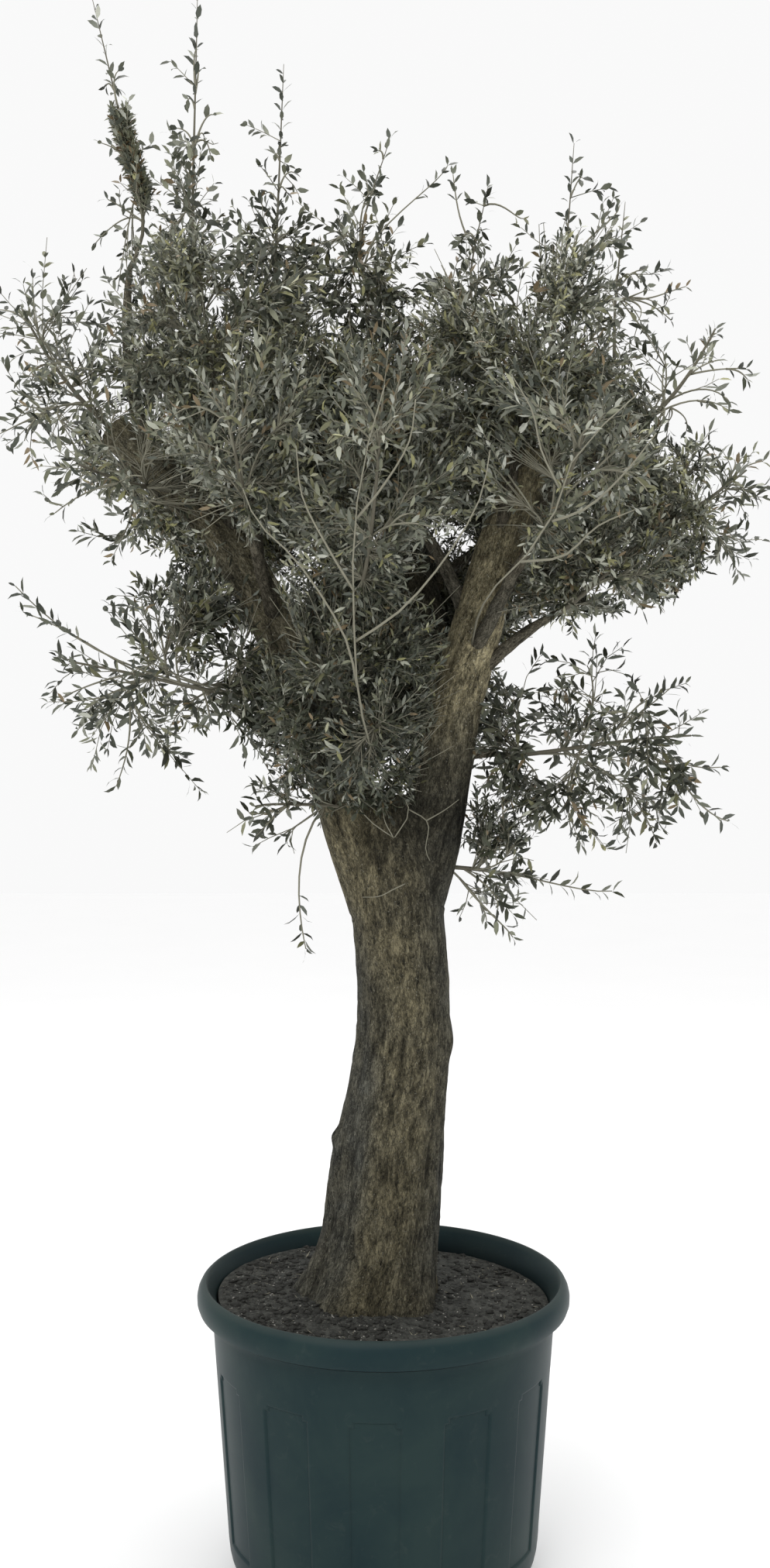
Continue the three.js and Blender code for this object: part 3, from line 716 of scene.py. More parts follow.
def build_pot():
    under = POT_HEIGHT - LIP_HEIGHT
    walls = [PANEL_BOTTOM - 12 * MM, PANEL_BOTTOM, PANEL_BOTTOM + 12 * MM, *metres((190, 285, 380))]
    walls += [PANEL_TOP - 26 * MM, PANEL_TOP - 11 * MM, PANEL_TOP, PANEL_TOP + 14 * MM, *metres((530, 560))]
    profile = [
        (FOOT_RADIUS - 30 * MM, 4 * MM),
        (FOOT_RADIUS - 24 * MM, 0.0),
        (FOOT_RADIUS - 3 * MM, 0.0),
        (FOOT_RADIUS, 3 * MM),
        (FOOT_RADIUS + 1 * MM, FOOT_HEIGHT),
        (FOOT_RADIUS + 8 * MM, FOOT_HEIGHT + 1 * MM),
        (FOOT_RADIUS + 22 * MM, FOOT_HEIGHT + 5 * MM),
        (BOTTOM_RADIUS - 12 * MM, FOOT_ROUND * 0.66),
        (BOTTOM_RADIUS - 3.5 * MM, FOOT_ROUND * 0.95),
        (BOTTOM_RADIUS, FOOT_ROUND * 1.25),
        *((wall_radius(z), z) for z in walls),
        (TOP_RADIUS - 1 * MM, under - 5 * MM),
        (TOP_RADIUS + 3 * MM, under),
        (LIP_RADIUS - 14 * MM, under + 2 * MM),
        (LIP_RADIUS - 5 * MM, under + 7 * MM),
        (LIP_RADIUS - 0.5 * MM, under + 19 * MM),
        (LIP_RADIUS, under + 32 * MM),
        (LIP_RADIUS - 2.5 * MM, under + 44 * MM),
        (LIP_RADIUS - 8 * MM, under + 55 * MM),
        (LIP_RADIUS - 13 * MM, POT_HEIGHT - 2 * MM),
        (LIP_RADIUS - 16 * MM, POT_HEIGHT),
        (LIP_RADIUS - 20 * MM, POT_HEIGHT),
        (LIP_RADIUS - 23 * MM, POT_HEIGHT - 3 * MM),
        (LIP_RADIUS - 26 * MM, POT_HEIGHT - 12 * MM),
        (TOP_RADIUS - WALL + 4 * MM, POT_HEIGHT - 34 * MM),
        (TOP_RADIUS - WALL, under - 20 * MM),
        (wall_radius(300 * MM) - WALL, 300 * MM),
    ]
    radius, height = profile[0]
    turn = (0, 0, PANEL_TURN + math.pi / PANELS)
    pot = start_ring("nursery_pot", 240, radius, (0, 0, height), turn)
    draw_up_rings(profile)

    # The panels: each is a patch of the wall, cut at its top corners, inset and pushed in.
    def in_panel(centre, normal):
        z = centre.z
        if not PANEL_BOTTOM < z < PANEL_TOP or normal.x * centre.x + normal.y * centre.y < 0:
            return False
        turn = (math.atan2(centre.y, centre.x) - PANEL_TURN) % (2 * math.pi / PANELS)
        off = min(turn, 2 * math.pi / PANELS - turn)
        high, wide = PANEL_CORNER
        return off < PANEL_HALF - wide * max(0.0, (z - (PANEL_TOP - high)) / high) ** 2

    select_faces(pot, in_panel)
    for thickness, depth in PANEL_INSETS:
        bpy.ops.mesh.inset(thickness=thickness, depth=depth, use_even_offset=True)
    close_piece(faces_out=False)
    smooth_by_angle(pot, 38)
    finish_piece(pot, pot_plastic(), "pot", "pot")


# ---------------------------------------------------------------- limb curves


class Limb:
    """A curve that points, tangents and radii are read from, by the share of its length."""

    def __init__(self, points, root, tip):
        self.points = np.array(points)
        steps = np.linalg.norm(np.diff(self.points, axis=0), axis=1)
        self.shares = np.concatenate([[0], np.cumsum(steps)])
        self.length = self.shares[-1]
        self.shares = self.shares / self.length
        self.root, self.tip = root, tip

    def at(self, share):
        return np.stack([np.interp(share, self.shares, self.points[:, i]) for i in range(3)], axis=-1)

    def tangent(self, share):
        share = np.clip(share, 0.01, 0.99)
        return unit(self.at(share + 0.01) - self.at(share - 0.01))

    def radius(self, share):
        return self.root + (self.tip - self.root) * np.asarray(share)

    def gap_to(self, points, low=0, high=1, count=40):
        """How far each point lies from the stretch of the curve between two shares."""
        line = self.at(np.linspace(low, high, count))
        return np.linalg.norm(points[:, None] - line[None], axis=-1).min(1)


CURVE_STEPS = 24


def smooth_row(points):
    """A smooth curve through a row of points (centripetal Catmull-Rom)."""
    p = [np.array(q, float) for q in points]
    p = [2 * p[0] - p[1], *p, 2 * p[-1] - p[-2]]
    out = []
    for i in range(1, len(p) - 2):
        t = [0.0]
        for a, b in ((p[i - 1], p[i]), (p[i], p[i + 1]), (p[i + 1], p[i + 2])):
            t.append(t[-1] + np.linalg.norm(b - a) ** 0.5)
        for s in np.linspace(t[1], t[2], CURVE_STEPS, endpoint=False):
            a1, a2, a3 = (
                p[i - 1 + k] * (t[k + 1] - s) / (t[k + 1] - t[k])
                + p[i + k] * (s - t[k]) / (t[k + 1] - t[k])
                for k in range(3)
            )
            b1 = a1 * (t[2] - s) / (t[2] - t[0]) + a2 * (s - t[0]) / (t[2] - t[0])
            b2 = a2 * (t[3] - s) / (t[3] - t[1]) + a3 * (s - t[1]) / (t[3] - t[1])
            out.append(b1 * (t[2] - s) / (t[2] - t[1]) + b2 * (s - t[1]) / (t[2] - t[1]))
    out.append(p[-2])
    return np.array(out)


def bezier(controls, count=CURVE_STEPS):
    t = np.linspace(0, 1, count)[:, None]
    points = [np.array(c, float) for c in controls]
    while len(points) > 1:
        points = [a * (1 - t) + b * t for a, b in zip(points, points[1:])]
    return points[0]


TRUNK_AXIS = Limb(smooth_row([metres(at) for at, _ in TRUNK]), 0, 0)
limbs = {
    name: Limb(smooth_row(metres(low + high)), *metres(radii))
    for name, (radii, _, low, high) in BOUGHS.items()
}


def trunk_radius_at(z):
    heights = [at[2] * MM for at, _ in TRUNK]
    return np.interp(z, heights, [radius * MM for _, radius in TRUNK])


# ---------------------------------------------------------------- the masses' spaces


class Mass:
    def __init__(self, name, row, index):
        centre, size, self.on, self.along, self.rise, self.fullness, self.lift = row
        self.name = name
        self.centre, self.size = metres(centre), metres(size)
        self.seed = FIRST_SEED + SEED_STEP * index
        self.is_crest = name in LEADERS
        self.is_front = centre[1] < -350

    def depth(self, points):
        return np.linalg.norm((points - self.centre) / self.size, axis=-1)


masses = [Mass(name, row, i) for i, (name, row) in enumerate(MASSES.items())]


def border_between(a, b):
    """The plane between two masses, where both are equally far out, facing from a to b."""
    across = b.centre - a.centre
    reach_a = 1 / np.linalg.norm(across / a.size)
    reach_b = 1 / np.linalg.norm(across / b.size)
    point = a.centre + across * reach_a / (reach_a + reach_b)
    normal = unit(unit((point - a.centre) / a.size**2) + unit((b.centre - point) / b.size**2))
    return normal, normal @ point


for mass in masses:
    borders = [border_between(mass, other) for other in masses if other is not mass]
    mass.normals = np.array([normal for normal, _ in borders])
    mass.offsets = np.array([offset for _, offset in borders])


def furthest(mass, across):
    """The point furthest from a mass's centre in its space, towards `across`, which reaches its surface."""
    facing = mass.normals @ across
    room = mass.offsets - mass.normals @ mass.centre
    shares = room[facing > 0] / facing[facing > 0]
    return mass.centre + across * 0.99 * min(1, shares.min(initial=1))


# ---------------------------------------------------------------- side boughs and stems


def side_bough(mass):
    """A thin bough that leaves a sawn bough's side, bends upwards, and ends just inside its mass."""
    parent = limbs[mass.on]
    start, grain = parent.at(mass.along), parent.tangent(mass.along)
    across = mass.centre - start
    length = np.linalg.norm(across)
    share = (parent.radius(mass.along) + SIDE_BOUGH["least"]) / length
    while mass.depth(start + across * share) > SIDE_BOUGH["into"]:
        share += 0.02
    bend = start + across * share * 0.45 + grain * length * share * 0.16
    root = SIDE_BOUGH["root"] * (0.75 + 0.25 * min(1, length / 0.5))
    return Limb(bezier((start, bend, start + across * share)), root, SIDE_BOUGH["tip"])


side_boughs = {mass.name: side_bough(mass) for mass in masses if mass.on != "trunk" and mass.along < 1}


def behind(x, z, y):
    """The point at depth y right behind or before (x, z) of the middle plane, seen from in front."""
    return EYE + (np.array([x, 0, z]) - EYE) * (y - EYE[1]) / -EYE[1]


def stem_of(mass):
    """The stem of a mass, from its bough's tip, or out of the trunk's side, through its middle."""
    carrier = side_boughs.get(mass.name) or limbs.get(mass.on)
    if carrier:
        start, grain = carrier.at(1), carrier.tangent(1)
    else:
        start = TRUNK_AXIS.at(mass.along)
        grain = unit(mass.centre - start)
    lead = start + grain * np.linalg.norm(mass.centre - start) * 0.4
    root = STEM_RADII[0] * (0.7 if mass.is_crest or mass.is_front else 1)
    if mass.is_crest:
        stops = (behind(*metres(place), mass.centre[1]) for place in LEADERS[mass.name])
        return Limb(smooth_row((start, *stops)), root, SHOOT_RADII[1])
    aim = unit(unit(mass.centre - start) + UP * mass.rise)
    aim = aim / np.linalg.norm(aim / mass.size)
    far = furthest(mass, aim)
    end = far + (mass.centre - far) * min(0.7, 0.06 / np.linalg.norm(far - mass.centre))
    return Limb(bezier((start, lead, mass.centre, end)), root, STEM_RADII[1])


mass_stems = {mass.name: stem_of(mass) for mass in masses}


# ---------------------------------------------------------------- meshes from arrays


def mesh_piece(name, vertices, triangles):
    data = bpy.data.meshes.new(name)
    data.vertices.add(len(vertices))
    data.vertices.foreach_set("co", np.ascontiguousarray(vertices, np.float32).ravel())
    data.loops.add(triangles.size)
    data.loops.foreach_set("vertex_index", np.ascontiguousarray(triangles, np.int32).ravel())
    data.polygons.add(len(triangles))
    data.polygons.foreach_set("loop_start", np.arange(0, triangles.size, 3, dtype=np.int32))
    data.update(calc_edges=True)
    data.validate()
    piece = bpy.data.objects.new(name, data)
    bpy.context.scene.collection.objects.link(piece)
    return piece


def set_attribute(piece, name, kind, values):
    layer = piece.data.attributes.new(name, kind, "POINT")
    field = "vector" if kind == "FLOAT_VECTOR" else "value"
    layer.data.foreach_set(field, values.astype(np.float32).ravel())


def side_of(direction):
    """A direction square to each given one."""
    helper = np.where(np.abs(direction[..., 2:3]) < 0.9, UP, np.array([1.0, 0, 0]))
    return unit(np.cross(direction, helper))


def rods(points, radii, sides=3, capped=True):
    """Tapered rods along rows of points (rods, stations, 3)."""
    count, stations, _ = points.shape
    grain = unit(np.gradient(points, axis=1))
    first = side_of(grain[:, 0])[:, None, :]
    normal = unit(first - grain * np.sum(first * grain, -1, keepdims=True))
    other = np.cross(grain, normal)
    angle = np.arange(sides) * 2 * math.pi / sides
    ring = normal[:, :, None] * np.cos(angle)[:, None] + other[:, :, None] * np.sin(angle)[:, None]
    local = ring * radii[:, :, None, None]
    vertices = points[:, :, None] + local
    index = np.arange(count * stations * sides).reshape(count, stations, sides)
    a, b = index[:, :-1], np.roll(index, -1, axis=2)[:, :-1]
    c, d = np.roll(index, -1, axis=2)[:, 1:], index[:, 1:]
    faces = [np.stack([a, b, c], -1).reshape(-1, 3), np.stack([a, c, d], -1).reshape(-1, 3)]
    for k in range(1, sides - 1 if capped else 0):
        faces.append(np.stack([index[:, 0, 0], index[:, 0, k + 1], index[:, 0, k]], -1))
        faces.append(np.stack([index[:, -1, 0], index[:, -1, k], index[:, -1, k + 1]], -1))
    steps = np.diff(points, axis=1, prepend=points[:, :1])
    lengths = np.cumsum(np.linalg.norm(steps, axis=-1), axis=1)
    ways = [np.sum(local * way[:, :, None], -1) for way in (normal, other)]
    along = np.broadcast_to(lengths[:, :, None], local.shape[:3])
    grain_space = np.stack([*ways, along], -1) + np.arange(count)[:, None, None, None] * 0.37
    return vertices.reshape(-1, 3), np.concatenate(faces), grain_space.reshape(-1, 3)


def join_arrays(parts):
    vertices, faces, extra, base = [], [], [], 0
    for part_vertices, part_faces, part_extra in parts:
        vertices.append(part_vertices)
        faces.append(part_faces + base)
        extra.append(part_extra)
        base += len(part_vertices)
    return np.concatenate(vertices), np.concatenate(faces), np.concatenate(extra)


# ---------------------------------------------------------------- relief noise


def lattice(ix, iy, iz, seed):
    h = (ix * 374761393 + iy * 668265263 + iz * 1440662683 + seed * 971215073) & 0xFFFFFFFF
    h = ((h ^ (h >> 13)) * 1274126177) & 0xFFFFFFFF
    return ((h ^ (h >> 16)) & 0xFFFF) / 65535.0


def soft_noise(points, seed=0):
    """Smooth noise from 0 to 1 over rows of points, with one swell per unit."""
    cell = np.floor(points).astype(np.int64)
    f = points - cell
    f = f * f * (3 - 2 * f)
    total = 0
    for dx in (0, 1):
        for dy in (0, 1):
            for dz in (0, 1):
                weight = (
                    np.where(dx, f[:, 0], 1 - f[:, 0])
                    * np.where(dy, f[:, 1], 1 - f[:, 1])
                    * np.where(dz, f[:, 2], 1 - f[:, 2])
                )
                corner = lattice(cell[:, 0] + dx, cell[:, 1] + dy, cell[:, 2] + dz, seed)
                total = total + weight * corner
    return total


def ridges(points, seed=0):
    return 1 - np.abs(2 * soft_noise(points, seed) - 1)


# ---------------------------------------------------------------- trunk and sawn boughs


def limb_by_hand(name, limb, sides):
    """A round limb drawn out ring by ring along its axis, from a circle."""
    shares = np.linspace(0, 1, LIMB_RINGS)
    centres = [Vector(p) for p in limb.at(shares)]
    grains = [Vector(t) for t in limb.tangent(shares)]
    radii = limb.radius(shares)
    turn = grains[0].to_track_quat("Z", "Y").to_euler()
    piece = start_ring(name, sides, radii[0], centres[0], turn)
    for k in range(1, LIMB_RINGS):
        step = centres[k] - centres[k - 1]
        bpy.ops.mesh.extrude_region_move(TRANSFORM_OT_translate={"value": step})
        turn = grains[k - 1].rotation_difference(grains[k]).to_matrix().to_euler("XYZ")
        for axis, angle in zip("XYZ", turn):
            if abs(angle) > 1e-6:
                bpy.ops.transform.rotate(value=-angle, orient_axis=axis, center_override=centres[k])
        share = radii[k] / radii[k - 1]
        bpy.ops.transform.resize(value=(share,) * 3, center_override=centres[k])
    close_piece()
    return piece


def trunk_by_hand():
    """The trunk's stem, drawn up ring by ring from below the soil's surface to its crotch."""
    low = SOIL_LEVEL - TRUNK_BURIED
    heights = [low, low + TRUNK_BURIED, *np.linspace(SOIL_LEVEL + 40 * MM, TRUNK[-1][0][2] * MM, 22)]
    axis = TRUNK_AXIS.points
    centre_x = [float(np.interp(z, axis[:, 2], axis[:, 0])) for z in heights]
    radii = [float(trunk_radius_at(z)) for z in heights]
    piece = start_ring("trunk_and_boughs", TRUNK_SIDES, radii[0], (centre_x[0], 0, low))
    for k in range(1, len(heights)):
        step = (centre_x[k] - centre_x[k - 1], 0, heights[k] - heights[k - 1])
        bpy.ops.mesh.extrude_region_move(TRANSFORM_OT_translate={"value": step})
        share = radii[k] / radii[k - 1]
        bpy.ops.transform.resize(value=(share, share, 1), center_override=(centre_x[k], 0, heights[k]))
    close_piece()
    # Root toes run out at the soil, and shallow ribs climb the trunk.
    co = vertices_of(piece)
    x = np.interp(co[:, 2], axis[:, 2], axis[:, 0])
    out = np.stack([co[:, 0] - x, co[:, 1]], -1)
    radius = np.linalg.norm(out, axis=1)
    angle = np.arctan2(co[:, 1], co[:, 0] - x)
    z = co[:, 2] / MM
    flare = FLARE["reach"] * np.clip(1 - (z - SOIL_LEVEL / MM) / FLARE["height"], 0, 1.15) ** 2
    toe = 0.95 + 0.45 * np.cos(FLARE["toes"] * angle - FLARE["turn"])
    ribs = 3 * np.cos(3 * angle - z / 500) + 2 * np.cos(7 * angle + z / 400)
    new = (radius + (flare * toe + ribs) * MM) / np.maximum(radius, 1e-6)
    co[:, 0] = x + out[:, 0] * new
    co[:, 1] = out[:, 1] * new
    move_vertices(piece, co)
    return piece


BUMPS = (  # healed wounds and nubs: place, size, height
    ((152, -40, 1188), 30, 11),
    ((-112, -10, 966), 15, 12),
    ((-30, -110, 1330), 28, 7),
    ((60, -115, 1460), 22, 6),
    ((20, -130, 860), 34, 6),
    ((-55, -100, 1620), 26, 8),
    ((0, -90, 1700), 24, 12),
)


def bark_relief(piece):
    """Moves the wood's skin in and out along the limbs, and keeps the space that bark patterns run in."""
    co = vertices_of(piece)
    count = len(co)
    normal = np.zeros(count * 3)
    piece.data.vertex_normals.foreach_get("vector", normal)
    normal = normal.reshape(-1, 3)
    best = np.full(count, np.inf)
    space = np.zeros((count, 3))
    across = side_of(np.array([[0.05, 0.02, 1.0]]))
    for k, limb in enumerate((TRUNK_AXIS, *limbs.values())):
        shares = np.linspace(0, 1, 90)
        stations, grain = limb.at(shares), limb.tangent(shares)
        radii = trunk_radius_at(stations[:, 2]) if k == 0 else limb.radius(shares)
        side = unit(across - grain * np.sum(across * grain, -1, keepdims=True))
        other = np.cross(grain, side)
        for start in range(0, count, BLOCK):
            block = co[start : start + BLOCK]
            gap = np.linalg.norm(block[:, None] - stations[None], axis=-1)
            nearest = gap.argmin(1)
            far = gap[np.arange(len(block)), nearest] / radii[nearest]
            away = block - stations[nearest]
            along = np.sum(away * grain[nearest], -1) + shares[nearest] * limb.length
            ways = np.sum(away * side[nearest], -1), np.sum(away * other[nearest], -1)
            local = np.stack([*ways, along + 3.1 * k], -1)
            closer = far < best[start : start + BLOCK]
            space[start : start + BLOCK][closer] = local[closer]
            best[start : start + BLOCK][closer] = far[closer]
    thickness = np.clip((np.linalg.norm(space[:, :2], axis=1) - 0.03) / 0.09, 0.25, 1)
    plates = ridges(space / metres(PLATE), 1)
    strips = ridges(space / metres(STRIP) + 7.7, 2)
    chips = soft_noise(space / metres(CHIP), 3)
    swells = soft_noise(space / metres(SWELL), 4)
    relief = 0.34 * plates + 0.36 * strips + 0.30 * chips
    move = thickness * (BARK_DEPTH * (relief - 0.62) + SWELL_DEPTH * (swells - 0.5))
    for place, size, height in BUMPS:
        gap = np.linalg.norm((co - metres(place)) * np.array([1, 1, 0.7]), axis=1)
        move = move + height * MM * hill(gap, 0, size * MM)
    above = slope(co[:, 2], SOIL_LEVEL - 20 * MM, SOIL_LEVEL)
    co = co + normal * (move * above)[:, None]
    move_vertices(piece, co)
    set_attribute(piece, "grain", "FLOAT_VECTOR", space)
    set_attribute(piece, "relief", "FLOAT", relief)
    warmth, paleness_and_painted_light = bark_tones(co)
    set_attribute(piece, "warmth", "FLOAT", warmth)
    set_attribute(piece, "paleness_and_painted_light", "FLOAT", paleness_and_painted_light)


def bark_tones(points):
    """How tan the bark is, down the middle of the trunk's front and on two boughs, and how pale: painted
    light on the two sawn boughs above the fork, painted shade at the crotch, and the tan stretch's own
    paler tone.
    """
    z = points[:, 2]
    x = np.interp(z, TRUNK_AXIS.points[:, 2], TRUNK_AXIS.points[:, 0])
    angle = np.arctan2(points[:, 0] - x - 10 * MM, -points[:, 1])
    wander = 1.6 * (soft_noise(points / np.array([0.2, 0.2, 0.35]), 9) - 0.5)
    front = np.cos(np.clip(2 * angle + wander, -math.pi, math.pi))
    back = np.cos(3 * angle + 2.0 + wander)
    trunk = 0.35 + 0.4 * np.where(np.abs(angle) < math.pi / 2, front, back)
    on_right = slope(limbs["right"].gap_to(points, 0.12, 1, 30), 0.11, 0.09) * slope(z, 1.72, 2.02)
    warmth = np.clip(trunk * (1 - on_right) + (0.95 + 0.3 * wander) * on_right, 0, 1.2)
    # Painted shade in the crotch of the fork, on its right side: the bark there is greyer and darker.
    crotch = hill(z, 1.73, 0.13) * slope(points[:, 0], -0.02, 0.03)
    # A tan stretch down the left edge below the fork, and a cool grey one down the trunk's left foot.
    left = x - points[:, 0]
    tan = hill(z, 1.6, 0.15) * slope(left, 0.035, 0.075)
    cool = hill(z, 0.9, 0.28) * slope(left, 0.03, 0.07)
    # The left bough is brown too, and painted light makes it paler than the trunk.
    on_left = slope(limbs["left"].gap_to(points, 0.3, 1, 30), 0.12, 0.10) * slope(z, 1.85, 2.05)
    warmth = np.clip(warmth + 0.7 * tan - 0.5 * cool + 0.5 * on_left, 0, 1.3)
    # Paleness: painted light on the right bough and the left one, less where painted shade lies in the
    # crotch, plus the tan stretch's own paler tone.
    paleness_and_painted_light = on_right * (1 + 0.5 * wander) - 0.25 * crotch + 0.2 * tan + 0.6 * on_left
    return warmth * (1 - 0.6 * crotch), paleness_and_painted_light


# Bark in its cracks, where grey, where tan, and its flecks.
TRUNK_COLOURS = ((0.018, 0.018, 0.015), (0.049, 0.049, 0.041), (0.098, 0.086, 0.053), (0.27, 0.26, 0.21))
BOUGH_COLOURS = ((0.030, 0.027, 0.020), (0.085, 0.080, 0.062), (0.120, 0.105, 0.075), (0.19, 0.18, 0.14))


def build_wood():
    trunk = trunk_by_hand()
    for name, (_, sides, *_) in BOUGHS.items():
        only_select(limb_by_hand(f"bough_{name}", limbs[name], sides), trunk)
        bpy.ops.object.join()
    voxel = WOOD_VOXEL
    apply_modifier(trunk, "REMESH", mode="VOXEL", voxel_size=voxel)
    apply_modifier(trunk, "SMOOTH", factor=0.5, iterations=4)
    bark_relief(trunk)
    only_select(trunk)
    bpy.ops.object.shade_smooth()
    material = bark("trunk_bark", 1.0, *TRUNK_COLOURS, 0.9)
    finish_piece(trunk, material, "bark", "trunk", "bough_left", "bough_right", "bough_back")


def build_side_boughs():
    """The thin boughs, with a slight wander and the scars of old shoots."""
    parts = []
    for k, (name, limb) in enumerate(side_boughs.items()):
        shares = np.linspace(0, 1, 26)
        points = limb.at(shares)
        wander = soft_noise(points * 14, 11 + k)[:, None] - 0.5
        swing = wander * 12 * MM * np.sin(shares * math.pi)[:, None]
        points = points + side_of(limb.tangent(shares)) * swing
        radii = limb.radius(shares) * (1 + 0.16 * (soft_noise(points * 60, 31) - 0.5))
        radii = radii * np.interp(shares, (0.8, 1), (1, STEM_RADII[0] / SIDE_BOUGH["tip"]))
        parts.append(rods(points[None], radii[None], 10))
    vertices, faces, space = join_arrays(parts)
    piece = mesh_piece("side_boughs", vertices, faces)
    set_attribute(piece, "grain", "FLOAT_VECTOR", space)
    set_attribute(piece, "relief", "FLOAT", soft_noise(vertices * 90, 5) * 0.5 + 0.4)
    smooth_by_angle(piece, 60)
    set_attribute(piece, "warmth", "FLOAT", soft_noise(vertices * 12, 6) * 0.5)
    material = bark("bough_bark", 1.6, *BOUGH_COLOURS, 0.4)
    finish_piece(piece, material, "bark", *(f"bough_to_{name}" for name in side_boughs))


# ---------------------------------------------------------------- twigs, shoots and leaves


def even_directions(count, turn):
    golden = math.pi * (3 - math.sqrt(5))
    i = np.arange(count)
    z = 1 - (2 * i + 1) / count
    flat = np.sqrt(1 - z * z)
    return np.stack([flat * np.cos(golden * i + turn), flat * np.sin(golden * i + turn), z], -1)


def wood_guards():
    rows = []
    for limb in (*limbs.values(), *side_boughs.values()):
        shares = np.linspace(0, 1, 14)
        points = limb.at(shares)
        radius = limb.radius((shares[1:] + shares[:-1]) / 2)
        rows.append((points[:-1], points[1:], radius))
    shares = np.linspace(0, 1, 16)
    points = TRUNK_AXIS.at(shares)
    rows.append((points[:-1], points[1:], trunk_radius_at(points[:-1, 2]) + 0.012))
    return [np.concatenate(column) for column in zip(*rows)]


GUARD_FROM, GUARD_TO, GUARD_RADIUS = wood_guards()


def clear_of_wood(points, margin):
    """Which points lie outside the trunk and boughs."""
    clear = np.ones(len(points), bool)
    for start, end, radius in zip(GUARD_FROM, GUARD_TO, GUARD_RADIUS):
        line = end - start
        share = np.clip((points - start) @ line / (line @ line), 0, 1)
        gap = np.linalg.norm(points - start - share[:, None] * line, axis=1)
        clear &= gap > radius + margin
    return clear


def light_gap_share(points):
    """The share of the growth that is gone from before the bare stretches of the sawn boughs."""
    gone = np.zeros(len(points))
    seen = behind_many(points)
    for name, low, high, room, share in LIGHT_GAPS:
        spots = limbs[name].at(np.linspace(low, high, 14))
        gap = np.linalg.norm(seen[:, None] - behind_many(spots)[None], axis=-1)
        nearest = gap.argmin(1)
        before = points[:, 1] < spots[nearest, 1]
        gone = np.maximum(gone, share * before * slope(gap.min(1), room, room - GAP_EDGE))
    return gone


def behind_many(points):
    """Where points show in the middle plane, seen from in front: sideways and up."""
    scale = EYE[1] / (EYE[1] - points[:, 1:2])
    return EYE[[0, 2]] + (points[:, [0, 2]] - EYE[[0, 2]]) * scale


def body_depth(points):
    """Under 1 in the crown's dense body, over 1 in the open round it."""
    depths = [
        np.sum(np.abs((points - metres(centre)) / metres(size)) ** BODY_POWER, -1) ** (1 / BODY_POWER)
        for centre, size in BODY
    ]
    ragged = RAGGED_BY * (RAGGED_MIDDLE - upright_folds(points, RAGGED_FOLD, 64))
    return np.min(depths, axis=0) + slope(points[:, 2], *RAGGED) * ragged


def closed_share(points):
    """1 in the crown's dense body, falling to 0 in the open."""
    return 1 - slope(body_depth(points), *BODY_EDGE)


def front_share(points):
    """1 in the thin front layer of bare twigs, 0 behind and above it."""
    return slope(points[:, 1], *FRONT) * (1 - slope(points[:, 2], *FRONT_TOP))


def closeness(mass, points):
    """How close and small the growth is: 1 in the body, less in its front layer, 0 in the open."""
    if mass.name == SPIRE:
        near = mass_stems[SPIRE].gap_to(points) < 1.3 * COLUMN_WIDTH
        high = (points[:, 2] > COLUMN_FOOT) & (points[:, 2] < COLUMN_TOP + 50 * MM)
        return np.where(near & high, 1.0, 0.0)
    return closed_share(points) * (1 - 0.55 * front_share(points))


def leader_rise(mass, z):
    """0 up to where a crest narrows, 1 at its leader's tip."""
    return slope(z, *metres(LEADERS[mass.name])[[0, -1], 1])


def growth_at(mass, stem, points):
    """How full the growth is at each point, as a share of the fullest."""
    patches = np.clip(3 * soft_noise(points / OPEN_PATCH, 61) - 0.6, 0, 1.7)
    open_growth = mass.fullness * patches * np.clip(1.6 - 1.2 * mass.depth(points) ** 2, 0.2, 1.5)
    inner = slope(body_depth(points), *HEART_DEPTH)
    closed = closed_share(points) * (0.35 + 1.2 * soft_noise(points / CLOSED_PATCH, 62))
    closed = np.clip(closed, 0, 1)
    full = open_growth + (1 - np.minimum(open_growth, 1)) * closed
    heart = np.interp(points[:, 2], HEART_RANGE, HEART_SHARE)
    full = full * (heart + (1 - heart) * inner)
    full = full * (1 - (1 - FRONT_SHARE) * front_share(points))
    if mass.is_crest:
        rise = leader_rise(mass, points[:, 2])
        foot, tip = LEADER_WIDTH
        room = tip + (foot - tip) * (1 - rise) ** 1.5
        tall = np.clip((LEADER_BUSHY - rise) / 0.1, 0.15, 1)
        along_leader = (0.05 + 4 * mass.fullness) * tall * (stem.gap_to(points) < room)
        low = metres(LEADERS[mass.name][0])[1]
        between = (mass.fullness + 0.05) * (points[:, 2] < low + spikes(points))
        full = np.where(rise > 0, np.maximum(along_leader, between), full)
    return full


def upright_folds(points, width, seed):
    """Noise in upright folds that run from front to back, so that the crown's top edge is ragged."""
    x, y, z = points.T
    return soft_noise(np.stack([(x + 0.2 * y) / width, y / 0.3, z * 0.12 / width], -1), seed)


def spikes(points):
    """How far upright shoots stand above the crests' waists, in metres: a few stand much higher."""
    return SPIKE_HEIGHT * slope(upright_folds(points, SPIKE_FOLD, 63), *SPIKE_RANGE) ** 1.5


def rooted_on(carriers, spots, angles):
    """For each spot, the root on the nearest carrier from which it lies at about the angle, the
    carrier's grain there, and the gap between the two."""
    stations = carriers.shape[1]
    lengths = np.linalg.norm(np.diff(carriers, axis=1), axis=-1).sum(1)
    gaps = np.linalg.norm(spots[:, None] - carriers.reshape(1, -1, 3), axis=-1)
    nearest = gaps.argmin(1)
    gap = gaps[np.arange(len(spots)), nearest]
    carrier = nearest // stations
    back = gap / np.tan(angles)
    share = (nearest % stations) / (stations - 1) - back / lengths[carrier]
    place = np.clip(share, 0.02, 0.999) * (stations - 1)
    low = place.astype(int)
    part = (place - low)[:, None]
    before, after = carriers[carrier, low], carriers[carrier, low + 1]
    return before * (1 - part) + after * part, unit(after - before), gap


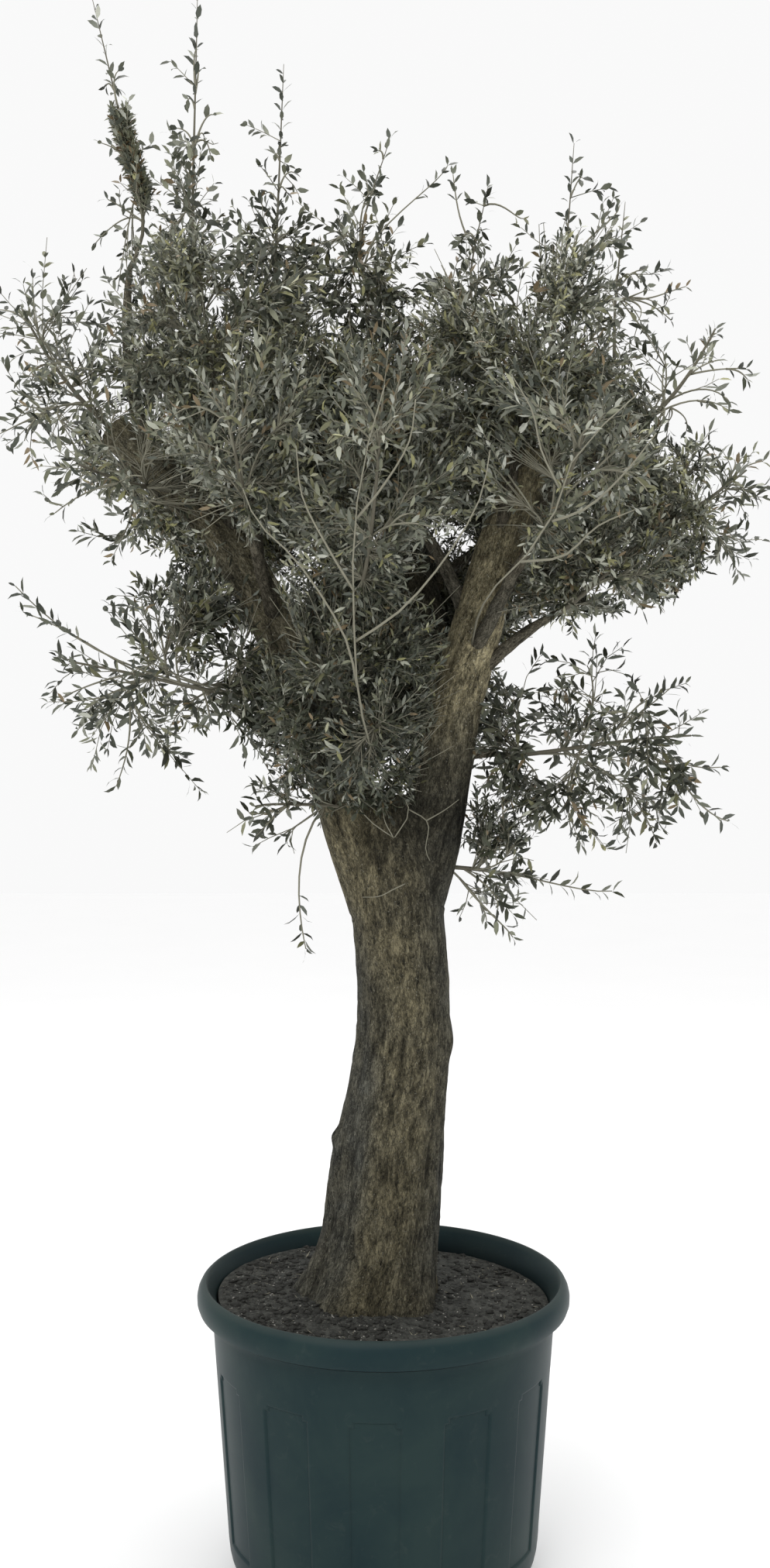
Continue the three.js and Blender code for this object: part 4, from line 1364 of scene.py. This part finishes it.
def twigs_of(mass, stem, random):
    """Rows of points of the twigs of a mass: a few from its stem out, then more from the nearest wood."""
    count = int(round(float(mass.size.mean()) / TWIG_ROOM[mass.is_front]))
    leading = count // 3
    rows = [stem.at(np.linspace(0.1, 1, 10))]
    directions = np.concatenate(
        [even_directions(share, random.random() * 2 * math.pi) for share in (leading, count - leading)]
    )
    for order, direction in enumerate(directions):
        if mass.is_front:
            direction = unit(direction + UP * 0.8)
        reach = 0.95 if order < leading else 0.55 + 0.4 * random.random()
        far = furthest(mass, direction * mass.size * reach)
        if mass.is_crest:
            middle = stem.at(np.interp(far[2], stem.points[:, 2], stem.shares))
            far = far + (middle - far) * 0.6 * leader_rise(mass, far[2])
        carriers = np.array(rows[:1] if order < leading else rows)
        angle = np.array([math.radians(30 + 25 * random.random())])
        root, grain, _ = rooted_on(carriers, far[None], angle)
        foot, grain = root[0], grain[0]
        if order < leading and np.linalg.norm(foot - rows[0][0]) < 0.06:
            foot = stem.at(0.1 + 0.4 * random.random() ** 1.5)
        whole = np.linalg.norm(far - foot)
        end = far + (foot - far) * min(0.6, 0.04 / max(whole, 1e-6))
        bare = 1 if mass.is_front else 0.4
        if whole < LEAST_TWIG:
            continue
        if random.random() > bare + (1 - bare) * growth_at(mass, stem, end[None])[0]:
            continue
        bend = foot + (end - foot) * 0.4 + (grain * 0.2 + UP * 0.1 * mass.lift) * whole
        bend = bend + (random.random(3) - 0.5) * whole * 0.25
        row = bezier((foot, bend, end), 10)
        if clear_of_wood(row[2:], TWIG_CLEAR).all():
            rows.append(row)
    return np.array(rows[1:])


def with_stem(twigs, stem):
    return np.concatenate([twigs, stem.at(np.linspace(0.25, 1, twigs.shape[1]))[None]])


def shoots_of(mass, stem, twigs, random):
    """Rows of points of the leafy shoots: each grows from the nearest twig to a spot of its own."""
    most = CROWDING.get(mass.name, 1.0)
    count = int(SHOOTS * most * 8 * np.prod(mass.size * SPREAD))
    spots = mass.centre + (2 * random.random((count, 3)) - 1) * mass.size * SPREAD
    kept = (spots @ mass.normals.T < mass.offsets + BORDER).all(1)
    kept &= mass.depth(spots) < np.where(body_depth(spots) < 0.95, SPREAD, 1.0)
    kept[kept] &= random.random(kept.sum()) < growth_at(mass, stem, spots[kept])
    spots = spots[kept]
    closed = closeness(mass, spots)
    carriers = with_stem(twigs, stem)
    straight = np.full(len(spots), math.radians(89))
    middle, _, gap = rooted_on(carriers, spots, straight)
    least, most = SHOOT_REACH
    reach = least + (most - least) * random.random(len(spots)) * (1.2 - closed)
    outward = unit(spots - middle)
    spots = spots + outward * np.maximum(0, reach - gap)[:, None]
    angles = np.radians(35 + 35 * random.random(len(spots)))
    root, grain, gap = rooted_on(carriers, spots, angles)
    length = np.linalg.norm(spots - root, axis=1)
    s = np.linspace(0, 1, 5)[None, :, None]
    long = length[:, None, None]
    rows = root[:, None] + (spots - root)[:, None] * s + grain[:, None] * long * 0.35 * s * (1 - s)
    rows = rows + UP * long * (0.3 * mass.lift) * s * s
    rows = rows + ((random.random((len(rows), 1, 3)) - 0.5) * 0.25 * long) * s
    kept = (length > LEAST_SHOOT) & (gap < ROOM_FROM_TWIG)
    kept &= clear_of_wood(rows[:, 2], SHOOT_CLEAR) & clear_of_wood(rows[:, 4], SHOOT_CLEAR)
    kept &= random.random(len(rows)) > light_gap_share(rows[:, 3])
    return rows[kept]


def column_shoots(stem, random):
    """Rows of points of the short shoots that stand close round the left spire's stem."""
    height = COLUMN_FOOT + (COLUMN_TOP - COLUMN_FOOT) * random.random(COLUMN_SHOOTS)
    share = np.interp(height, stem.points[:, 2], stem.shares)
    foot, grain = stem.at(share), stem.tangent(share)
    side = side_of(grain)
    angle = (2 * math.pi * random.random(COLUMN_SHOOTS))[:, None]
    off = side * np.cos(angle) + np.cross(grain, side) * np.sin(angle)
    long = 45 * MM + 25 * MM * random.random(COLUMN_SHOOTS)[:, None, None]
    s = np.linspace(0, 1, 5)[None, :, None]
    return foot[:, None] + grain[:, None] * long * s + off[:, None] * COLUMN_WIDTH * s**0.6


def reaching_shoots(mass, stem, twigs, random):
    """Rows of points of the single shoots that reach out to the mass's tips."""
    rows = []
    for x, z in TIPS.get(mass.name, ()):
        far = behind(x * MM, z * MM, mass.centre[1])
        root, grain, _ = rooted_on(with_stem(twigs, stem), far[None], np.array([math.radians(30)]))
        root, grain = root[0], grain[0]
        whole = np.linalg.norm(far - root)
        strays = (random.random((2, 3)) - 0.5) * whole * 0.3
        first = root + (far - root) * 0.3 + grain * whole * 0.15 + strays[0]
        second = root + (far - root) * 0.7 + strays[1]
        rows.append(bezier((root, first, second, far), 10))
    return np.array(rows).reshape(-1, 10, 3)


def leaves_of(rows, closed, random):
    """Feet, directions, faces, lengths, widths and shoots of the leaves: opposite pairs, turned in turn."""
    length = np.linalg.norm(np.diff(rows, axis=1), axis=-1).sum(1)
    room = PAIR_ROOM[0] + (PAIR_ROOM[1] - PAIR_ROOM[0]) * closed
    pairs = np.maximum(2, np.round(length / room).astype(int))
    shoot = np.repeat(np.arange(len(rows)), pairs)
    order = np.arange(len(shoot)) - np.repeat(np.cumsum(pairs) - pairs, pairs)
    share = 0.12 + 0.88 * (order + 1) / pairs[shoot]
    spot = np.clip(share * 4, 0, 3.999)
    low = spot.astype(int)
    part = (spot - low)[:, None]
    foot = rows[shoot, low] * (1 - part) + rows[shoot, low + 1] * part
    grain = unit(rows[shoot, low + 1] - rows[shoot, low])
    side = side_of(grain)
    other = np.cross(grain, side)
    turn = order * (math.pi / 2) + shoot * 1.7 + 0.5 * random.random(len(shoot))
    height = rows[:, 2, 2]
    in_open = np.interp(height, *OPEN_LEAF)
    broad = 1 + np.interp(height, *OPEN_BREADTH) * (1 - closed)
    feet, ways, faces, longs, wides, owner = [], [], [], [], [], []
    for way in (0, math.pi):
        angle = (turn + way)[:, None]
        off = side * np.cos(angle) + other * np.sin(angle)
        spread = (1.15 - 0.5 * share + 0.6 * (random.random(len(shoot)) - 0.5))[:, None]
        stray = (0.5 + 0.9 * closed[shoot])[:, None]
        direction = unit(grain * 0.75 + off * spread + (random.random(off.shape) - 0.5) * stray)
        face = grain * 0.7 + UP * 0.5 + (random.random(off.shape) - 0.5) * 1.1
        face = unit(face - direction * np.sum(face * direction, -1, keepdims=True))
        least, most = LEAF_LENGTH
        long = (least + (most - least) * random.random(len(shoot))) * (0.75 + 0.4 * np.sin(share * 2.6))
        long = long * (in_open + (CLOSED_LEAF - in_open) * closed)[shoot]
        feet.append(foot)
        ways.append(direction)
        faces.append(face)
        longs.append(long)
        wides.append(long * LEAF_WIDTH * broad[shoot])
        owner.append(shoot)
    return [np.concatenate(column) for column in (feet, ways, faces, longs, wides, owner)]


# One leaf, from its foot at 0 to its tip at 1: share of length, of width, and lift of its arch.
LEAF_EDGE = ((0.0, 0.0, -0.04), (0.33, 0.5, 0.03), (0.70, 0.42, 0.02))
LEAF_OTHER_EDGE = ((1.0, 0.0, -0.08), (0.70, -0.42, 0.0), (0.33, -0.5, 0.0))
LEAF_SHAPE = np.array(LEAF_EDGE + LEAF_OTHER_EDGE)
LEAF_FACES = np.array([(0, 5, 1), (1, 5, 4), (1, 4, 2), (2, 4, 3)])


def leaf_mesh(feet, ways, faces, longs, wides, random):
    count = len(feet)
    side = np.cross(faces, ways)
    width = wides * (0.85 + 0.3 * random.random(count))
    curl = 0.4 + 1.8 * random.random(count)
    along = ways[:, None] * (LEAF_SHAPE[:, 0] * longs[:, None])[..., None]
    across = side[:, None] * (LEAF_SHAPE[:, 1] * width[:, None])[..., None]
    lift = faces[:, None] * (LEAF_SHAPE[:, 2] * (longs * curl)[:, None])[..., None]
    vertices = feet[:, None] + along + across + lift
    triangles = LEAF_FACES[None] + (np.arange(count) * len(LEAF_SHAPE))[:, None, None]
    return vertices.reshape(-1, 3), triangles.reshape(-1, 3)


# The upper side and the back of a leaf of each tint.
LEAF_COLOURS = {
    "shade": ((0.028, 0.031, 0.020), (0.09, 0.10, 0.08)),
    "dark": ((0.050, 0.056, 0.034), (0.15, 0.16, 0.12)),
    "grey": ((0.092, 0.098, 0.070), (0.22, 0.23, 0.19)),
    "olive": ((0.122, 0.122, 0.062), (0.22, 0.23, 0.16)),
    "sage": ((0.170, 0.176, 0.118), (0.30, 0.31, 0.25)),
    "silver": ((0.340, 0.350, 0.280), (0.50, 0.51, 0.44)),
    "fresh": ((0.250, 0.245, 0.115), (0.36, 0.36, 0.24)),
    "dry": ((0.160, 0.120, 0.065), (0.22, 0.17, 0.10)),
}
OWN_TINT = 0.45  # of the leaves differ from their spray


def tapered(radii, rows):
    return np.broadcast_to(np.linspace(*radii, rows.shape[1]), rows.shape[:2])


def tints_of(mass, leafy, closed, owner, random):
    """The tint of each leaf, by the light that its shoot stands in: most leaves take their spray's."""
    height = leafy[:, 2, 2]
    lit = slope(height, *SHADED) * (1 - np.interp(height, *OPEN_SHADE) * (1 - closed))
    shares = SHADED_SHARES * (1 - lit[:, None]) + LIT_SHARES * lit[:, None]
    if mass.name == SPIRE:
        shares = np.where(closed[:, None] == 1, COLUMN_MIX, shares)
    chances = np.cumsum(shares, axis=1)
    differs = random.random(len(owner)) < OWN_TINT
    own = random.random(len(owner))
    draw = np.where(differs, own, random.random(len(leafy))[owner])
    return np.minimum((draw[:, None] > chances[owner]).sum(1), len(TINTS) - 1)


def build_crown():
    """Grows every mass on from its bough: stem, twigs, shoots, and leaves in their tints."""
    stems, twigs, shoots = [], [], []
    leaves = {tint: [] for tint in TINTS}
    for mass in masses:
        random = np.random.default_rng(mass.seed)
        stem = mass_stems[mass.name]
        along = np.linspace(0, 1, 16)
        stems.append((stem.at(along), stem.radius(along)))
        rows = twigs_of(mass, stem, random)
        leafy = shoots_of(mass, stem, rows, random)
        if mass.name == SPIRE:
            leafy = np.concatenate([leafy, column_shoots(stem, random)])
        shoots.append(leafy)
        reaching = reaching_shoots(mass, stem, rows, random)
        rows = np.concatenate([rows, reaching])
        twigs.append(rows)
        from_share = 0.25 if mass.is_front else 0.5
        ends = np.stack([Limb(row, 0, 0).at(np.linspace(from_share, 1, 5)) for row in rows])
        leader = stem.at(np.linspace(0.55, 1, 5))[None]
        leafy = np.concatenate([leafy, leader, ends])
        closed = closeness(mass, leafy[:, 2])
        feet, ways, faces, longs, wides, owner = leaves_of(leafy, closed, random)
        tips = feet + ways * longs[:, None]
        keep = clear_of_wood(tips, LEAF_CLEAR) & clear_of_wood(feet, LEAF_CLEAR)
        reaches = owner >= len(leafy) - len(reaching)
        keep &= (mass.depth(tips) < np.where(body_depth(tips) < 1, 1.35, 1.12)) | reaches
        keep &= random.random(len(feet)) > np.maximum(0.12, light_gap_share(tips))
        tint = tints_of(mass, leafy, closed, owner, random)
        for k, name in enumerate(TINTS):
            chosen = keep & (tint == k)
            leaves[name].append([part[chosen] for part in (feet, ways, faces, longs, wides)])

    for row in (*FRONT_TWIGS, *FORK_TWIGS):
        points = [behind(x * MM, z * MM, y * MM) for x, y, z in row]
        twigs.append(Limb(smooth_row(points), 0, 0).at(np.linspace(0, 1, 10))[None])
    foliage = [f"foliage_{mass.name}" for mass in masses]
    stem_rows, stem_radii = (np.array(column) for column in zip(*stems))
    twig_rows, shoot_rows = np.concatenate(twigs), np.concatenate(shoots)[:, ::2]
    twig_radii = tapered(TWIG_RADII, twig_rows).copy()
    twig_radii[-len(FORK_TWIGS) :] *= 0.6
    dull_bark = grit("stem_bark", (0.150, 0.140, 0.105), 0.85)
    pale_bark = grit("twig_bark", (0.26, 0.25, 0.19), 0.8)
    for name, material, (vertices, triangles, _) in (
        ("stems", dull_bark, rods(stem_rows, stem_radii, 6)),
        ("twigs", pale_bark, rods(twig_rows, twig_radii, 4)),
        ("shoots", pale_bark, rods(shoot_rows, tapered(SHOOT_RADII, shoot_rows), 3, False)),
    ):
        finish_piece(mesh_piece(name, vertices, triangles), material, "bark", *foliage)
    for name, parts in leaves.items():
        random = np.random.default_rng(len(name) + 5)
        joined = [np.concatenate(column) for column in zip(*parts)]
        vertices, triangles = leaf_mesh(*joined, random)
        piece = mesh_piece(f"leaves_{name}", vertices, triangles)
        finish_piece(piece, leaf(f"leaf_{name}", *LEAF_COLOURS[name]), "foliage", *foliage)


# ---------------------------------------------------------------- soil


LUMP_DEPTH, SOIL_SWELL_DEPTH = 8 * MM, 12 * MM
SOIL_RINGS, SOIL_SIDES = 80, 200
# Loose bits: name, count, least and most size in millimetres, stretch, colour.
LOOSE_BITS = (
    ("soil_clods", 2400, (2, 14), (1, 0.85, 0.4), (0.036, 0.036, 0.032)),
    ("soil_chips", 1300, (1.5, 6), (1, 0.5, 0.25), (0.100, 0.098, 0.084)),
    ("soil_grit", 700, (1, 4), (1, 0.8, 0.6), (0.32, 0.31, 0.28)),
    ("soil_straws", 120, (10, 26), (1, 0.07, 0.05), (0.30, 0.28, 0.21)),
)
LEFT_BITS = 0.35  # of the bits on the right lie on the left instead


def soil_height(x, y):
    """Height of the soil's lumpy top: lowest by the wall, and heaped up on the left."""
    flat = np.stack([x, y, np.zeros_like(x)], -1)
    distance = np.hypot(x, y)
    lumps = ridges(flat / 0.045 + 3.3, 21) * 0.5 + ridges(flat / 0.019, 22) * 0.35
    lumps = lumps + soft_noise(flat / 0.009, 23) * 0.3
    swells = soft_noise(flat / 0.16, 24)
    calm = np.clip((SOIL_RADIUS - distance) / (10 * MM), 0.3, 1)
    heap = SOIL_HEAP * np.clip(-x / SOIL_RADIUS, -0.4, 1)
    dish = SOIL_DISH * (distance / SOIL_RADIUS) ** 2
    rough = (lumps - 0.75) * LUMP_DEPTH + (swells - 0.6) * SOIL_SWELL_DEPTH
    return SOIL_LEVEL + heap - dish + rough * calm


def build_soil():
    low = SOIL_LEVEL - 60 * MM
    soil = start_ring("soil_surface", SOIL_SIDES, SOIL_RADIUS, (0, 0, low), fill="NOTHING")
    bpy.ops.mesh.select_mode(type="EDGE")
    bpy.ops.mesh.select_all(action="SELECT")
    shares = np.linspace(1, 1 / SOIL_RINGS, SOIL_RINGS)
    draw_up_rings([(SOIL_RADIUS, low), *((SOIL_RADIUS * share, SOIL_LEVEL) for share in shares)])
    bpy.ops.mesh.edge_face_add()
    close_piece()
    co = vertices_of(soil)
    top = co[:, 2] > SOIL_LEVEL - 30 * MM
    co[:, 2] = np.where(top, soil_height(co[:, 0], co[:, 1]), co[:, 2])
    move_vertices(soil, co)
    finish_piece(soil, potting_soil(), "soil", "soil")

    # Loose bits on it: clods, pale grit, and straws.
    random = np.random.default_rng(77)
    base = np.array([(1, 0, 0), (-1, 0, 0), (0, 1, 0), (0, -1, 0), (0, 0, 1), (0, 0, -1)], float)
    base_faces = np.array(
        [(0, 2, 4), (2, 1, 4), (1, 3, 4), (3, 0, 4), (2, 0, 5), (1, 2, 5), (3, 1, 5), (0, 3, 5)]
    )

    def scatter(count, sizes, stretch):
        distance = SOIL_RADIUS * np.sqrt(random.random(count)) * 0.97
        angle = random.random(count) * 2 * math.pi
        x, y = distance * np.cos(angle), distance * np.sin(angle)
        x = np.where(random.random(count) < LEFT_BITS, -np.abs(x), x)
        least, most = metres(sizes)
        size = least + (most - least) * random.random(count) ** 2
        uneven = 0.7 + 0.6 * random.random((count, 6, 1))
        shape = base[None] * uneven * (size[:, None] * np.array(stretch))[:, None]
        tilt = (random.random((count, 3)) - 0.5) * np.array([0.9, 0.9, 6.3])
        for axis in range(3):
            c, s = np.cos(tilt[:, axis])[:, None], np.sin(tilt[:, axis])[:, None]
            i, j = (axis + 1) % 3, (axis + 2) % 3
            first, second = shape[..., i].copy(), shape[..., j].copy()
            shape[..., i] = c * first - s * second
            shape[..., j] = s * first + c * second
        height = soil_height(x, y) + size * stretch[2] * 0.1
        vertices = shape + np.stack([x, y, height], -1)[:, None]
        triangles = base_faces[None] + (np.arange(count) * 6)[:, None, None]
        return vertices.reshape(-1, 3), triangles.reshape(-1, 3)

    for name, count, sizes, stretch, colour in LOOSE_BITS:
        piece = mesh_piece(name, *scatter(count, sizes, stretch))
        finish_piece(piece, grit(name + "_colour", colour), "soil")


# ---------------------------------------------------------------- the whole

studio()
build_pot()
build_soil()
build_wood()
build_side_boughs()
build_crown()
